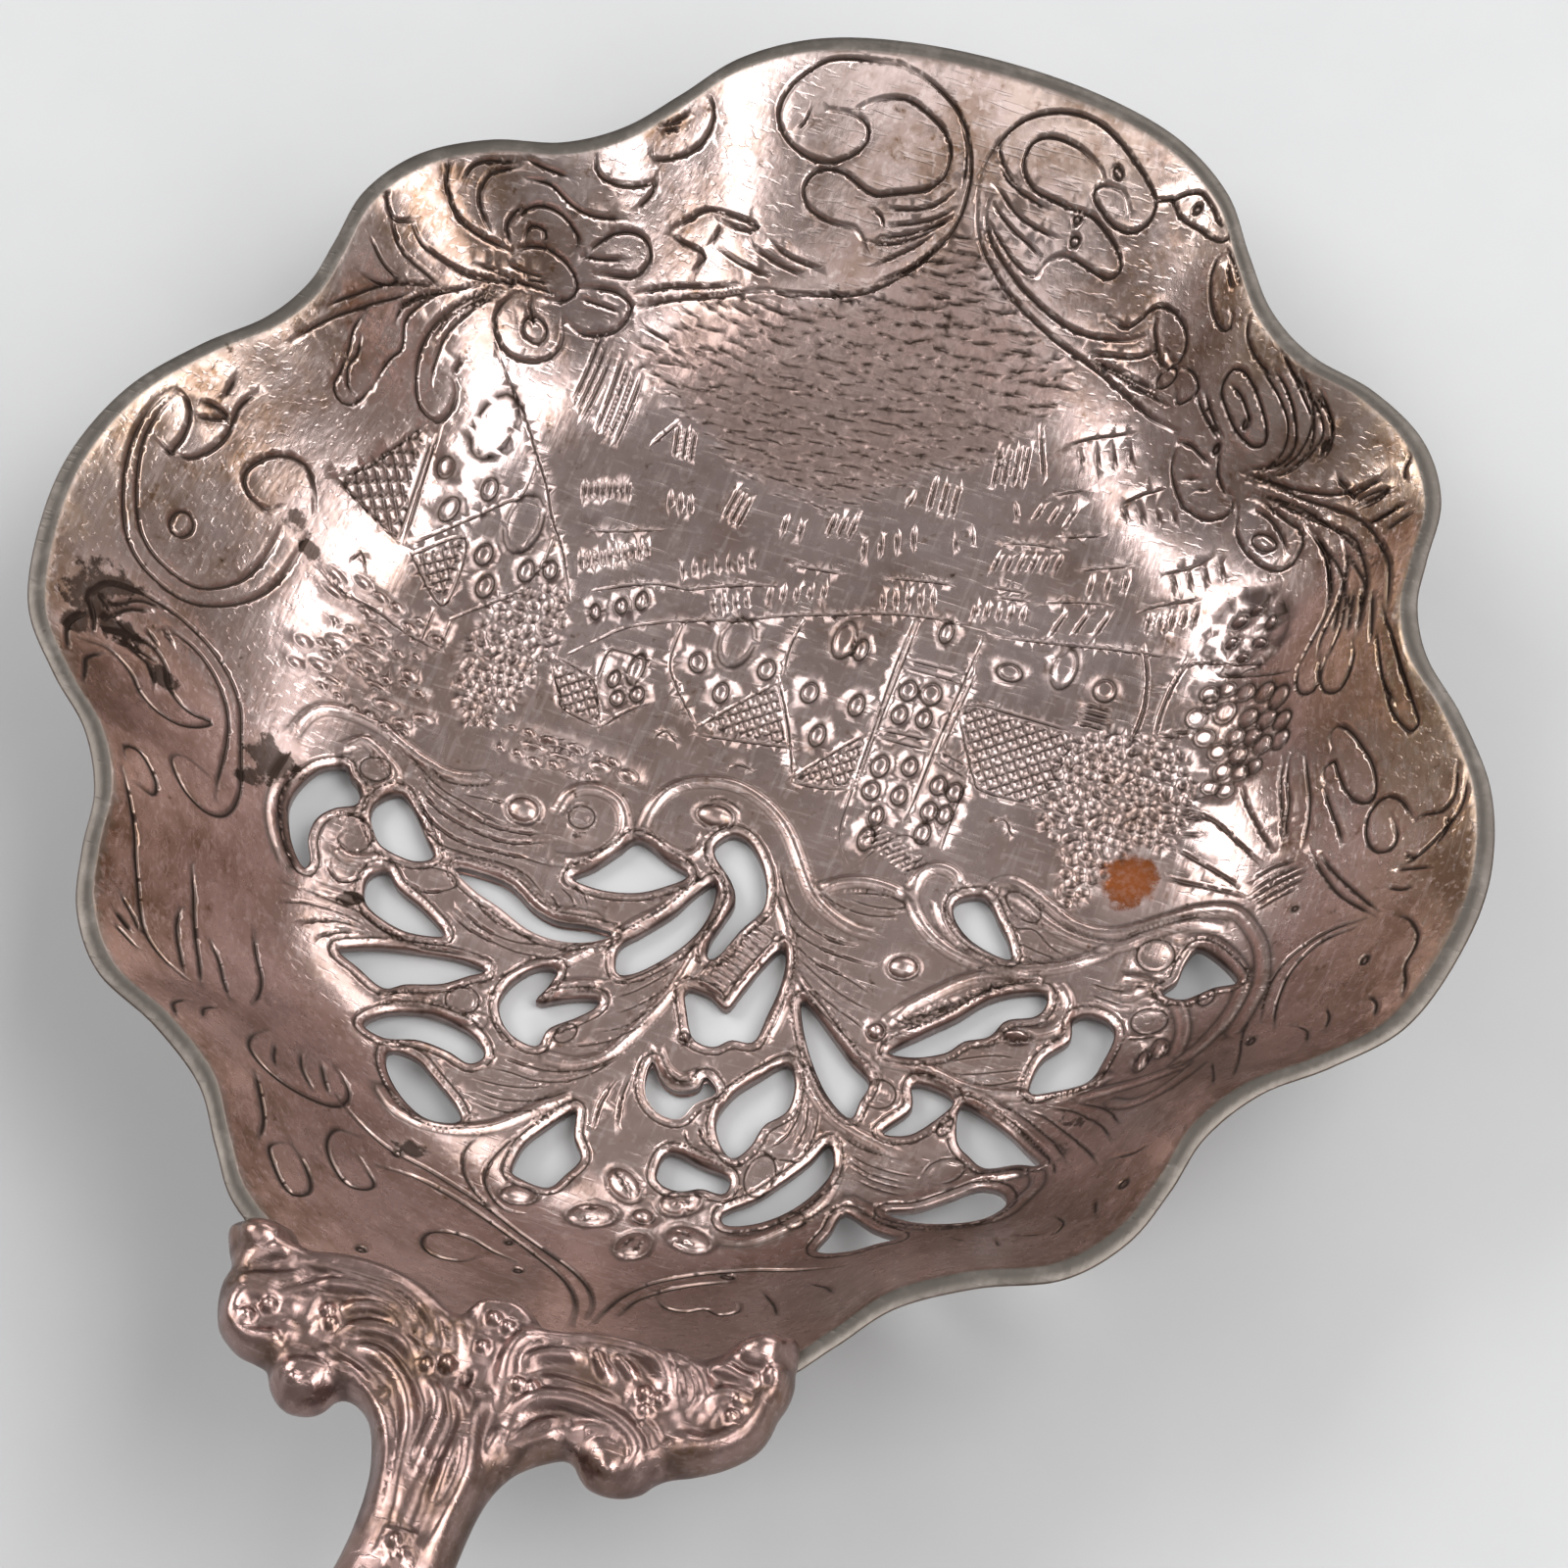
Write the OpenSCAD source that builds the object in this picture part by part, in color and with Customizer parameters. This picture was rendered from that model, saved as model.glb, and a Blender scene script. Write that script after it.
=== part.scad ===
// Shell shaped serving scoop: a raised, pierced bowl with a cast bracket and stem on its near rim.
// Millimetres, Z up. The tip of the bowl points to +Y, the handle to -Y.
// The whole spoon rests on the underside of the bowl floor and on the end of the handle, both at Z = 0.
// The origin is in the middle of its length, on the table.

/* [Bowl] */
// Width of the bowl over its lobes
bowl_w = 81.6; // [70:0.2:95]
// Length of the bowl from the bracket to the tip
bowl_l = 86; // [74:0.5:100]
// Depth of the inner floor under the plane of the rim, at Y = 0
bowl_depth = 13.6; // [8:0.2:20]
// Rise of the floor toward the tip, in mm per mm
floor_slope = 0.08; // [0:0.01:0.15]
// Thickness of the bowl sheet at the floor
sheet_t = 1.0; // [0.7:0.1:1.6]
// Width of the flat face of the rim
rim_w = 1.35; // [0.9:0.05:2]
// Half width of the flat floor
floor_hw = 24; // [20:0.5:27]
// Half length of the flat floor
floor_hl = 25.5; // [22:0.5:28]
// Height of the raised lines that are chased on the bowl
chase_h = 0.42; // [0.25:0.01:0.6]

/* [Handle] */
// How far the bracket laps over the rim of the bowl
bracket_lap = 2.6; // [2:0.1:4]
// Width of the cast bracket on the near rim
bracket_w = 30; // [24:0.5:36]
// Length of the bracket from its inner edge to the stem
bracket_l = 12.6; // [10:0.1:16]
// Thickness of the bracket plate that lies on the rim
plate_t = 1.7; // [1.2:0.1:2.5]
// Radius of the scrolls at their full end
scroll_r = 1.0; // [0.6:0.05:1.4]
// Height of the scrolls over the bracket plate
scroll_rise = 0.5; // [0.2:0.1:1]
// Radius of the plain beads between the scrolls
bead_r = 0.85; // [0.5:0.05:1.2]
// Width of the stem beside the bracket
stem_w = 6.2; // [5:0.1:8]
// Thickness of the stem beside the bracket
stem_t = 4.2; // [3:0.1:5]
// Width of the plain end of the handle
end_w = 11; // [8:0.5:16]
// Thickness of the plain end of the handle
end_t = 2.4; // [2:0.1:4]
// Distance from the bowl origin to the end of the handle
reach = 137; // [120:1:160]

/* [Hidden] */
tilt = atan(floor_slope);
lift = (bowl_depth + sheet_t) * cos(tilt);
// Height of the table under the end of the handle, measured from the plane of the rim
table_z = -(bowl_depth + sheet_t) - floor_slope * reach;
// The outline below is drawn 81.6 wide and 86 long and stretched to the sizes above
wide = bowl_w / 81.6;
long = bowl_l / 86;
tip_y = 50 * long;
near_y = -36 * long;
middle = ((reach - tip_y) * cos(tilt) - table_z * sin(tilt)) / 2;
floor_mid = [0, 7 * long];
// Height of the inner face of the floor over the table
floor_z = sheet_t * cos(tilt);
// Rings of the fluted wall and parts of each stretch of the outline
wall_rings = 6;
parts = 2;

// Right half of the rim seen along its own normal, from the tip to the handle
rim_drawn = [
  [0, 50], [6, 49.5], [11, 48], [14.8, 45.2], [17.2, 41.5], [19.5, 38.2],
  [22.5, 36], [26.5, 34.8], [30, 32.5], [32, 29], [32.3, 25], [32.6, 22],
  [34, 19], [36.8, 16], [39.5, 12], [40.8, 7], [40.5, 2], [39, -3],
  [36, -6.5], [33, -9.2], [31, -12.5], [30.2, -16], [29, -19.5], [26.5, -22.5],
  [22.5, -24.4], [19, -26.8], [16.8, -29.8], [14.5, -32.6], [10, -35], [5, -36]
];
rim_half = [for (p = rim_drawn) [p.x * wide, p.y * long]];
rim_points = concat(rim_half, [[0, near_y]],
  [for (i = [len(rim_half) - 1:-1:1]) [-rim_half[i].x, rim_half[i].y]]);

// A smooth curve through four neighbouring points, at the share f between the middle two
function bend(a, b, c, d, f) =
  0.5 * (2 * b + (c - a) * f + (2 * a - 5 * b + 4 * c - d) * f * f + (3 * b - a - 3 * c + d) * f * f * f);
function ring(p, n) =
  let (m = len(p))
  [for (i = [0:m - 1]) for (k = [0:n - 1])
    bend(p[(i + m - 1) % m], p[i], p[(i + 1) % m], p[(i + 2) % m], k / n)];
function line(p, n) =
  let (m = len(p) - 1)
  [for (k = [0:m * n])
    let (i = min(floor(k / n), m - 1))
    bend(p[max(i - 1, 0)], p[i], p[i + 1], p[min(i + 2, m)], k / n - i)];

// Points are worked out with the rim in the plane Z = 0; this sets one down on the floor of the bowl
function down(p) =
  [p.x, middle + p.y * cos(tilt) + p.z * sin(tilt), lift - p.y * sin(tilt) + p.z * cos(tilt)];
// The same for whole solids
module set_down() {
  translate([0, middle, lift])
    rotate([-tilt, 0, 0])
      children();
}

rim_edge = ring(rim_points, parts);
count = len(rim_edge);

// Wall height as a share of the depth, from the floor (t = 0) to the rim (t = 1)
function climb(t) = 1.9 * t * t - 0.9 * t * t * t;
// One point of the sheet: a ray from the middle of the floor to the rim, the flat floor ending on an oval
function sheet_point(i, t, inset, deep) =
  let (v = rim_edge[i] - floor_mid)
  let (w = v / norm(v))
  let (far = norm(v) - inset)
  let (near = 1 / sqrt(pow(w.x / floor_hw, 2) + pow(w.y / floor_hl, 2)))
  let (p = floor_mid + w * (near + (far - near) * t))
  down([p.x, p.y, -(deep - floor_slope * p.y) * (1 - climb(t))]);
function sheet_side(inset, deep) =
  [for (j = [0:wall_rings]) for (i = [0:count - 1]) sheet_point(i, j / wall_rings, inset, deep)];

module sheet() {
  layer = (wall_rings + 1) * count;
  inner = sheet_side(rim_w, bowl_depth);
  outer = sheet_side(0, bowl_depth + sheet_t);
  wall = [for (j = [0:wall_rings - 1]) for (i = [0:count - 1])
    let (n = (i + 1) % count)
    [j * count + i, (j + 1) * count + i, (j + 1) * count + n, j * count + n]];
  top = [for (q = wall) each [[q[0], q[1], q[2]], [q[0], q[2], q[3]]]];
  under = [for (f = top) [f[0] + layer, f[2] + layer, f[1] + layer]];
  last = wall_rings * count;
  caps = [for (i = [0:count - 1])
    let (n = (i + 1) % count)
    each [[last + i, last + layer + i, last + layer + n], [last + i, last + layer + n, last + n]]];
  floors = [[for (i = [0:count - 1]) i], [for (i = [count - 1:-1:0]) layer + i]];
  polyhedron(concat(inner, outer), concat(top, under, caps, floors), convexity = 6);
}

// The place on the inner face of the bowl over any point of its plan
function rim_far(w) =
  min([for (i = [0:count - 1])
    let (a = rim_edge[i] - floor_mid)
    let (b = rim_edge[(i + 1) % count] - rim_edge[i])
    let (k = w.x * b.y - w.y * b.x)
    let (s = (a.x * b.y - a.y * b.x) / (abs(k) < 1e-6 ? 1e-6 : k))
    let (f = (a.x * w.y - a.y * w.x) / (abs(k) < 1e-6 ? 1e-6 : k))
    if (s > 0 && f > -0.001 && f < 1.001) s]);
function on_face(p) =
  let (v = p - floor_mid)
  let (w = v / max(norm(v), 0.001))
  let (near = 1 / sqrt(pow(w.x / floor_hw, 2) + pow(w.y / floor_hl, 2)))
  let (t = max(0, norm(v) - near) / (rim_far(w) - rim_w - near))
  down([p.x, p.y, -(bowl_depth - floor_slope * p.y) * (1 - climb(min(t, 1)))]);

// Chased ornament, a few round points to each line, drawn on the same outline as the rim.
// Scrolls on the wall: two that meet at the tip, then left, right and beside the bracket
wall_lines = [
  [[-6, 47.6], [-10, 46.6], [-11.8, 44], [-10.2, 42.3], [-7.6, 42.8], [-7, 44.4]],
  [[-6, 47.6], [-2.6, 47], [-0.6, 44.6], [-0.6, 41.4], [-2.4, 38.9], [-5, 37.2], [-10, 35.6]],
  [[9.4, 43.4], [10.8, 44], [9.2, 46], [5.8, 47.6], [2.4, 47.2], [0.7, 45], [1.2, 41.5], [3.6, 39.4],
    [9, 36.4]],
  [[-29.2, 11.4], [-30, 7.4], [-32, 4.6], [-34.6, 3.6], [-36.8, 5.4], [-37.8, 9.4], [-36.8, 12.8],
    [-34.2, 13.4]],
  [[-36.4, 0.6], [-33.8, 2.2], [-31, 1.8], [-28.4, -1.6], [-26.7, -5.8], [-27.2, -8.2], [-29, -8.6]],
  [[37.8, 2], [36.6, 4.8], [34.2, 4.8], [31.8, 3], [31.2, 0], [30.9, -4], [31, -7.6]],
  [[-14.4, -21], [-9, -22.5], [-3, -24.3], [1, -26.4], [3, -28.8], [3.4, -31]],
  [[14, -21.8], [8, -23], [5, -25.4], [4.2, -28], [4.4, -31]]
];
// Flowers: middle, petals and the way from the middle to the first petal's end
flowers = [[-20.2, 30.6, 5, 3.2, 20], [20.6, 31, 5, 3.2, 50], [2.8, -20.4, 4, 2, 10]];
// Ribs of the pierced leaves
leaf_lines = [
  [[-25.6, 0.8], [-25.2, 2.3], [-23.2, 3.1], [-20, 2.3], [-17.2, 1.5], [-14.6, 2.2]],
  [[-10.2, 1.6], [-9.4, 3], [-7.3, 3], [-6.3, 1.2], [-7.2, -0.6], [-9.4, -1.6]],
  [[-5.4, 1.8], [-5, 4.2], [-3, 5.7], [0, 5.8], [3.4, 3.1], [5.4, 0.8], [8.6, -0.3]],
  [[-21, -8], [-17, -8.4], [-13.6, -8.4], [-9.6, -8.2]],
  [[-10.2, -10], [-8, -8], [-6.2, -6.6], [-3.6, -3.8], [-1.6, -0.3]],
  [[-5.6, -12.9], [-2.7, -11.8], [-1.2, -8.8], [-0.2, -5.4], [0.6, -2], [-0.4, 1.2]],
  [[-13, -18.8], [-9.4, -19.2], [-6.4, -17.4], [-3.8, -14.6]],
  [[3.2, 1.2], [4.8, -1.6], [5.6, -4.4], [5.4, -8]],
  [[10.4, 2.6], [12, 0.8], [15, 0], [18.4, 0.8], [21.6, 2.8]],
  [[14.4, 4.6], [16.4, 5.2], [20.4, 3.8], [24.2, 5.6], [27.6, 6.6], [30.2, 3], [30, -2]],
  [[11.2, -5], [13.2, -2.7], [15.6, -0.7], [18.6, 0]],
  [[11.8, -7.1], [15, -6.9], [19, -7.1], [23.2, -5.6]],
  [[7.4, -8.3], [10, -11], [13, -12], [14.6, -12.2]],
  [[13, -15.8], [16, -17], [19.2, -17.2], [21.8, -15.8], [22.5, -13.4]]
];
// Village on the floor: walls and roofs, each a low raised plane
houses = [
  [[5, 3.6], [8.4, 3.6], [8.9, 19], [4.9, 19]],
  [[-7.5, 14.6], [-7.2, 12], [-4.6, 8.8], [-1.2, 13], [-1.2, 16]],
  [[-0.7, 16.8], [-0.7, 13.2], [1.6, 7.5], [4.6, 11.6], [4.7, 18.2]],
  [[-13.7, 10.2], [-12.4, 7.3], [-10, 7.2], [-8, 9.2], [-8.4, 11.8], [-11, 11.6]],
  [[9.2, 14.5], [11.4, 10.4], [15.3, 10.3], [15.8, 15]],
  [[-21.6, 13.6], [-19.4, 16.6], [-18.4, 20.4], [-20.6, 19.4], [-22, 17]]
];

// A raised line: a three sided tube with its ridge up and its other two edges sunk in the inner face
module chased(p) {
  c = line([for (q = p) [q.x * wide, q.y * long]], 1);
  m = len(c) - 1;
  tube([for (i = [0:m])
    let (d = c[min(i + 1, m)] - c[max(i - 1, 0)])
    let (w = d / norm(d))
    let (sink = sheet_t / 4)
    let (r = chase_h * (i == 0 || i == m ? 0.5 : 1) + sink)
    [on_face(c[i]) - [0, 0, sink], [0, 0, r], [-w.y * r, w.x * r, 0]]], 3);
}

module petal(c, angle, size) {
  tip = c + size * [cos(angle), sin(angle)];
  hull() {
    translate(on_face(c))
      sphere(size * 0.1, $fn = 4);
    translate(on_face(tip))
      sphere(size * 0.3, $fn = 5);
  }
}

module chasing() {
  for (p = concat(wall_lines, leaf_lines))
    chased(p);
  for (f = flowers)
    for (k = [0:f[2] - 1])
      petal([f.x * wide, f.y * long], f[4] + 360 * k / f[2], f[3]);
  for (h = houses)
    translate([0, 0, floor_z - sheet_t / 2])
      linear_extrude(sheet_t / 2 + chase_h * 0.6)
        polygon([for (q = h) let (f = on_face([q.x * wide, q.y * long])) [f.x, f.y]]);
}

// The pierced openings among the leaves, each a few points round its edge, in plan
cuts = [
  [[-22.7, 0], [-23.8, -0.6], [-24.4, -2], [-24.5, -3.6], [-24, -5], [-23.2, -6.3], [-22.3, -7.1],
    [-22.2, -6.4], [-22.8, -5.2], [-22.9, -3.8], [-22.3, -2.7], [-21.2, -1.9], [-21.5, -1], [-22.2, -0.5]],
  [[-19.2, -0.4], [-20.2, -1.2], [-20.3, -2.2], [-19.6, -3.3], [-18.8, -3.9], [-17, -4.1], [-16, -3.5],
    [-16.8, -2.5], [-18, -1.2]],
  [[-18.2, -5.1], [-19, -5.8], [-18.8, -7], [-18, -7.8], [-16, -8.3], [-14, -8], [-13.8, -7.6],
    [-15.5, -6.6], [-17.2, -5.9]],
  [[-14.6, -3.8], [-13, -3.6], [-11.2, -3.8], [-9.5, -4.7], [-8, -5], [-6.2, -4.7], [-4.8, -4.7],
    [-5.5, -5.4], [-7.2, -6], [-9.2, -6], [-11.4, -5.2], [-13, -4.7]],
  [[-5.4, 1.2], [-6.2, 0.2], [-7.2, -1.2], [-8.2, -2.2], [-6.5, -2.4], [-4.6, -2], [-3.2, -1.2],
    [-2, 0], [-3.4, 0.5]],
  [[-0.5, 0.1], [-1.3, -1], [-2, -2.4], [-3.2, -4], [-4.2, -5.3], [-3.8, -6.8], [-2.9, -6.6],
    [-1.8, -5.5], [-0.8, -4.1], [-0.2, -2.6], [-0.1, -1]],
  [[-0.5, 3.2], [-1.2, 2.3], [-0.9, 1.5], [0.3, 0.5], [1, -0.6], [0.8, -2], [0.5, -3.4], [0.7, -4.4],
    [1.3, -4], [1.9, -2.2], [2.6, -0.8], [2.5, 0.4], [1.8, 1.8], [0.6, 3]],
  [[-10.7, -9], [-12.5, -8.8], [-15, -9.2], [-17.2, -9.8], [-18.8, -10.8], [-17.4, -11.4], [-15.7, -12],
    [-14.6, -11.3], [-12.8, -10.6], [-11.6, -9.7]],
  [[-7, -7.7], [-8.2, -8], [-9.2, -9.4], [-9.3, -10.8], [-8.2, -12.1], [-6.5, -12.4], [-6.2, -11.2],
    [-5, -10.1], [-4.2, -9.2], [-4.2, -8.6], [-5.6, -9], [-7.4, -9.9], [-7.1, -8.8]],
  [[-12.6, -12.5], [-14.4, -13], [-15.4, -13.8], [-15.7, -14.8], [-14.4, -15], [-12.8, -14.3],
    [-11, -14.3], [-9.6, -14.6], [-9, -13.8], [-10.2, -12.8]],
  [[-12.4, -15.4], [-13.9, -15.6], [-13.4, -17], [-12, -18.3], [-10.4, -18.9], [-8.8, -18.3],
    [-9.2, -17.4], [-11, -16.2]],
  [[-3.2, -15.2], [-4.2, -16.6], [-5, -18.2], [-5, -20], [-4.4, -20.4], [-2.8, -20.4], [-2.2, -19.2],
    [-1.8, -17.9], [-2.6, -16.8], [-2.9, -15.8]],
  [[4.4, -2.5], [3.7, -4], [3.2, -5.6], [2.7, -6.9], [1.5, -6.4], [0.2, -6.5], [0.8, -8], [1.6, -9.2],
    [2.8, -9.3], [3.6, -8.6], [4.8, -8.3], [5, -6.6], [5.1, -4.8], [4.9, -3.2]],
  [[-0.1, -11.2], [0.8, -12.1], [1.8, -12.4], [2.8, -11.9], [3, -11.1], [3.9, -11.8], [3, -12.8],
    [2.5, -13.9], [1.4, -14], [0.4, -13.4], [-0.1, -12.4]],
  [[7, -8.9], [5.8, -10.2], [4.8, -11.6], [4.4, -13.2], [5, -14.5], [6, -15.2], [6.7, -14.2],
    [7, -12.8], [7.9, -11.6], [7.8, -10]],
  [[2.6, -15.9], [2.4, -17.4], [3, -18], [4, -18], [5, -17.5], [6.3, -17.4], [6.2, -16.3], [4.6, -16.1]],
  [[10.7, -12.6], [10.1, -14], [9, -15.8], [8, -17.2], [6.7, -18.5], [7.1, -19.3], [8.6, -18.7],
    [10, -17.4], [11, -15.7], [11.4, -14]],
  [[13, -16.6], [12.7, -18.2], [12.5, -20], [14.4, -20.1], [15.6, -19.4], [16.7, -18.6], [15, -17.7]],
  [[6.5, -5.1], [7.2, -6.8], [8.4, -8.6], [9.8, -10.1], [11.3, -10.9], [11.5, -9.8], [11.6, -8.5],
    [10.2, -7.6], [8.6, -6.4], [7.4, -5.5]],
  [[13.9, -7.9], [14.3, -9.3], [13.2, -11.1], [14.6, -10.9], [15.6, -9.8], [16.4, -8.2], [15.2, -7.7]],
  [[19.1, -0.4], [17.6, -0.9], [16.2, -1.9], [15, -3.4], [13.4, -5], [12, -6.5], [13.4, -6.4],
    [15, -5.6], [15.8, -4.6], [17, -3.9], [17.6, -2.7], [19, -2], [19.4, -1.2]],
  [[21.8, -1], [21.1, -1.6], [21.3, -2.8], [20.2, -4.4], [20.2, -6.5], [21.6, -6.1], [23.1, -5.3],
    [23.5, -3.8], [23.6, -2], [23, -1.2]],
  [[16.8, -8.3], [17.3, -10.4], [18.3, -11.3], [19.4, -11.9], [21, -11.5], [22.3, -11.6],
    [21, -10.2], [19.6, -9.1], [18, -8.4]],
  [[19.4, -13.4], [18, -14.5], [16.6, -15.6], [15, -16.1], [16.4, -16.8], [18.4, -17], [20.2, -16.5],
    [21.3, -15.3], [21.3, -14.3], [20.6, -13.5]],
  [[13.8, 4], [12.7, 3.3], [13, 2.2], [14.4, 1.2], [16.6, 0.8], [16.3, 1.8], [15.4, 2.8], [14.6, 3.7]],
  [[26.4, 4.2], [26, 3.2], [25.9, 2], [25.3, 1.1], [26.6, 0.8], [28, 1.6], [29.2, 1.9], [28.6, 2.8],
    [27.4, 3.8]]
];

module bowl() {
  color("silver")
    difference() {
      union() {
        sheet();
        chasing();
      }
      for (c = cuts)
        set_down()
          translate([0, 0, -1.3 * (bowl_depth + sheet_t)])
            linear_extrude(1.15 * (bowl_depth + sheet_t))
              polygon([for (q = ring(c, 2)) [q.x * wide, q.y * long]]);
    }
}

// A tube of oval section along a path: each row of stations gives a middle, a side and an up vector
module tube(stations, sides) {
  m = len(stations);
  pts = [for (s = stations) for (k = [0:sides - 1])
    s[0] + s[1] * cos(360 * k / sides) + s[2] * sin(360 * k / sides)];
  skin = [for (j = [0:m - 2]) for (k = [0:sides - 1])
    let (n = (k + 1) % sides)
    each [[j * sides + k, (j + 1) * sides + n, (j + 1) * sides + k],
      [j * sides + k, j * sides + n, (j + 1) * sides + n]]];
  ends = [[for (k = [sides - 1:-1:0]) k], [for (k = [0:sides - 1]) (m - 1) * sides + k]];
  polyhedron(pts, concat(skin, ends), convexity = 6);
}

// The bracket is drawn 30 wide and 12.6 long from the near edge of the rim; this sets one of its points
function on_bracket(q) = [q.x * bracket_w / 30, near_y + bracket_lap + (q.y + 33.4) * bracket_l / 12.6];

// A raised scroll of the bracket along a curve in plan, thin at its start and full at its curled end
module scroll(p) {
  c = line([for (q = p) on_bracket(q)], 2);
  m = len(c) - 1;
  z = plate_t + scroll_rise - 0.8 * scroll_r;
  tube([for (i = [0:m])
    let (d = c[min(i + 1, m)] - c[max(i - 1, 0)])
    let (w = d / norm(d))
    let (r = scroll_r * (0.6 + 0.4 * i / m) * (i == 0 || i == m ? 0.5 : 1))
    [[c[i].x, c[i].y, z], [w.y * r, -w.x * r, 0], [0, 0, r]]], 6);
}

// A round bead on a short foot that sinks into the plate
module bead(q, size) {
  p = on_bracket(q);
  r = bead_r * size;
  translate([p.x, p.y, 0])
    hull() {
      translate([0, 0, size > 1.2 ? plate_t - 0.25 * bead_r : plate_t])
        sphere(r, $fn = 10);
      translate([0, 0, plate_t / 2])
        cylinder(h = 0.2, r = r * 0.8, $fn = 10);
    }
}

// Right half of the bracket plate, from the middle of its inner edge to the stem
plate_half = [
  [0, -33.4], [2, -33.8], [4, -33.3], [7, -33], [10, -33], [12.6, -32], [14.4, -31.6], [15, -33.5],
  [14.7, -36], [13.8, -38.2], [12.2, -39.9], [10.4, -40.7], [9.4, -41.7], [7.9, -42.1], [6.6, -41.6],
  [5.8, -40.8], [4.6, -41.4], [3.5, -43], [2.6, -45]
];
plate_drawn = concat(plate_half, [[0, -46]],
  [for (i = [len(plate_half) - 1:-1:1]) [-plate_half[i].x, plate_half[i].y]]);
plate_points = [for (q = plate_drawn) on_bracket(q)];

// Middle line of the stem: distance from the origin toward -Y, and height
stem_start = -near_y + stem_w / 6;
stem_run = reach - stem_start;
stem_fall = 0.6 - table_z - 0.28 * end_t;
stem_line = [
  [stem_start, 0.9], [stem_start + 0.07 * stem_run, 0.6], [stem_start + 0.17 * stem_run, 1.2],
  [stem_start + 0.31 * stem_run, 2.6], [stem_start + 0.47 * stem_run, 2.2],
  [stem_start + 0.63 * stem_run, 0.6 - 0.12 * stem_fall],
  [stem_start + 0.77 * stem_run, 0.6 - 0.38 * stem_fall],
  [stem_start + 0.9 * stem_run, 0.6 - 0.72 * stem_fall], [reach, 0.6 - stem_fall]
];
// Width and thickness at the same places, as shares of the way from the stem to the plain end
stem_swell = [0, -0.02, -0.04, -0.06, 0, 0.15, 0.45, 0.85, 1];

module stem() {
  c = line(stem_line, 3);
  g = line([for (v = stem_swell) [v, 0]], 3);
  m = len(c) - 1;
  tube([for (i = [0:m])
    let (d = c[min(i + 1, m)] - c[max(i - 1, 0)])
    let (w = d / norm(d))
    let (left = (m - i) / 3)
    let (round_end = left >= 1 ? 1 : sqrt(1 - pow(1 - max(left, 0.04), 2)))
    let (a = (stem_w + (end_w - stem_w) * g[i].x) / 2 * round_end)
    let (b = (stem_t + (end_t - stem_t) * g[i].x) / 2 * (0.5 + round_end / 2))
    [[0, -c[i].x, c[i].y], [-a, 0, 0], [0, w.y * b, w.x * b]]], 14);
}

module handle() {
  color("silver")
    set_down()
      union() {
        linear_extrude(plate_t)
          polygon(ring(plate_points, 2));
        difference() {
          stem();
          translate([-stem_w, near_y - stem_w - 0.8, -stem_t])
            cube([2 * stem_w, 4 * stem_w, stem_t]);
        }
        scroll([[-13.2, -36.4], [-12, -35], [-9.5, -34.4], [-6.5, -34.2], [-4, -34.4], [-2.2, -35.4],
          [-1.4, -36.8], [-2, -38], [-3.2, -38]]);
        scroll([[2.2, -39], [1.9, -36.8], [2.8, -35], [5, -34.2], [7.6, -34.1], [9.8, -34.9],
          [10.5, -36.2], [9.6, -37.2], [8.6, -36.6]]);
        scroll([[3.6, -41.4], [3.6, -39.6], [5.2, -38.4], [7.4, -38], [9.4, -38.8], [9.8, -40.2],
          [8.8, -41.2], [7.6, -40.8]]);
        scroll([[-3.6, -41.8], [-3.6, -40], [-5, -38.8], [-6.8, -38.9], [-8.4, -40], [-8.3, -41.2],
          [-7.2, -41.6]]);
        scroll([[10.8, -34], [12.6, -33.2], [14, -33.8], [14.1, -35.6], [13.4, -37.4], [12, -38.6],
          [10.8, -38]]);
        scroll([[-8, -37.6], [-9.6, -38.6], [-11.4, -39.6], [-12.8, -38.6], [-12.6, -37.2],
          [-11.4, -36.8]]);
        bead([-12.9, -34], 1.5);
        bead([-7.5, -36.6], 1);
        bead([-10.3, -36.4], 0.95);
        bead([-5.2, -36.4], 0.8);
        bead([0.6, -34.9], 1.6);
        bead([3.6, -36.9], 0.95);
        bead([7.4, -36], 1);
        bead([12.4, -35.6], 1);
        bead([13, -32.6], 1.3);
      }
}

bowl();
handle();
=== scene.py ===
import math
import bpy
import numpy as np
from mathutils import Matrix
from mathutils.geometry import delaunay_2d_cdt


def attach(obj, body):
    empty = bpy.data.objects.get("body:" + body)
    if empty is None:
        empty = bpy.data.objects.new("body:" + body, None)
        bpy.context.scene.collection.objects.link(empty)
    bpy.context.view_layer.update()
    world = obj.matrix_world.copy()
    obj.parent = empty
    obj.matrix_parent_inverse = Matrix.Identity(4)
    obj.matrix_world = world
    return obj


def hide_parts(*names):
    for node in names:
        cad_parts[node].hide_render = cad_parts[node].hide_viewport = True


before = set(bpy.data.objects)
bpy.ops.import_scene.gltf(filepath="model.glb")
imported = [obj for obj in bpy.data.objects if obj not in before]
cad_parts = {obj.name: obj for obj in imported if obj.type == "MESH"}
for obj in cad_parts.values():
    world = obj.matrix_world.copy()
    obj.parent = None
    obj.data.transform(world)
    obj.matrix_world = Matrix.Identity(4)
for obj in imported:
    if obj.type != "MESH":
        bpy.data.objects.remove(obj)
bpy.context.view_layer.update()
print("frame loaded")

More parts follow.
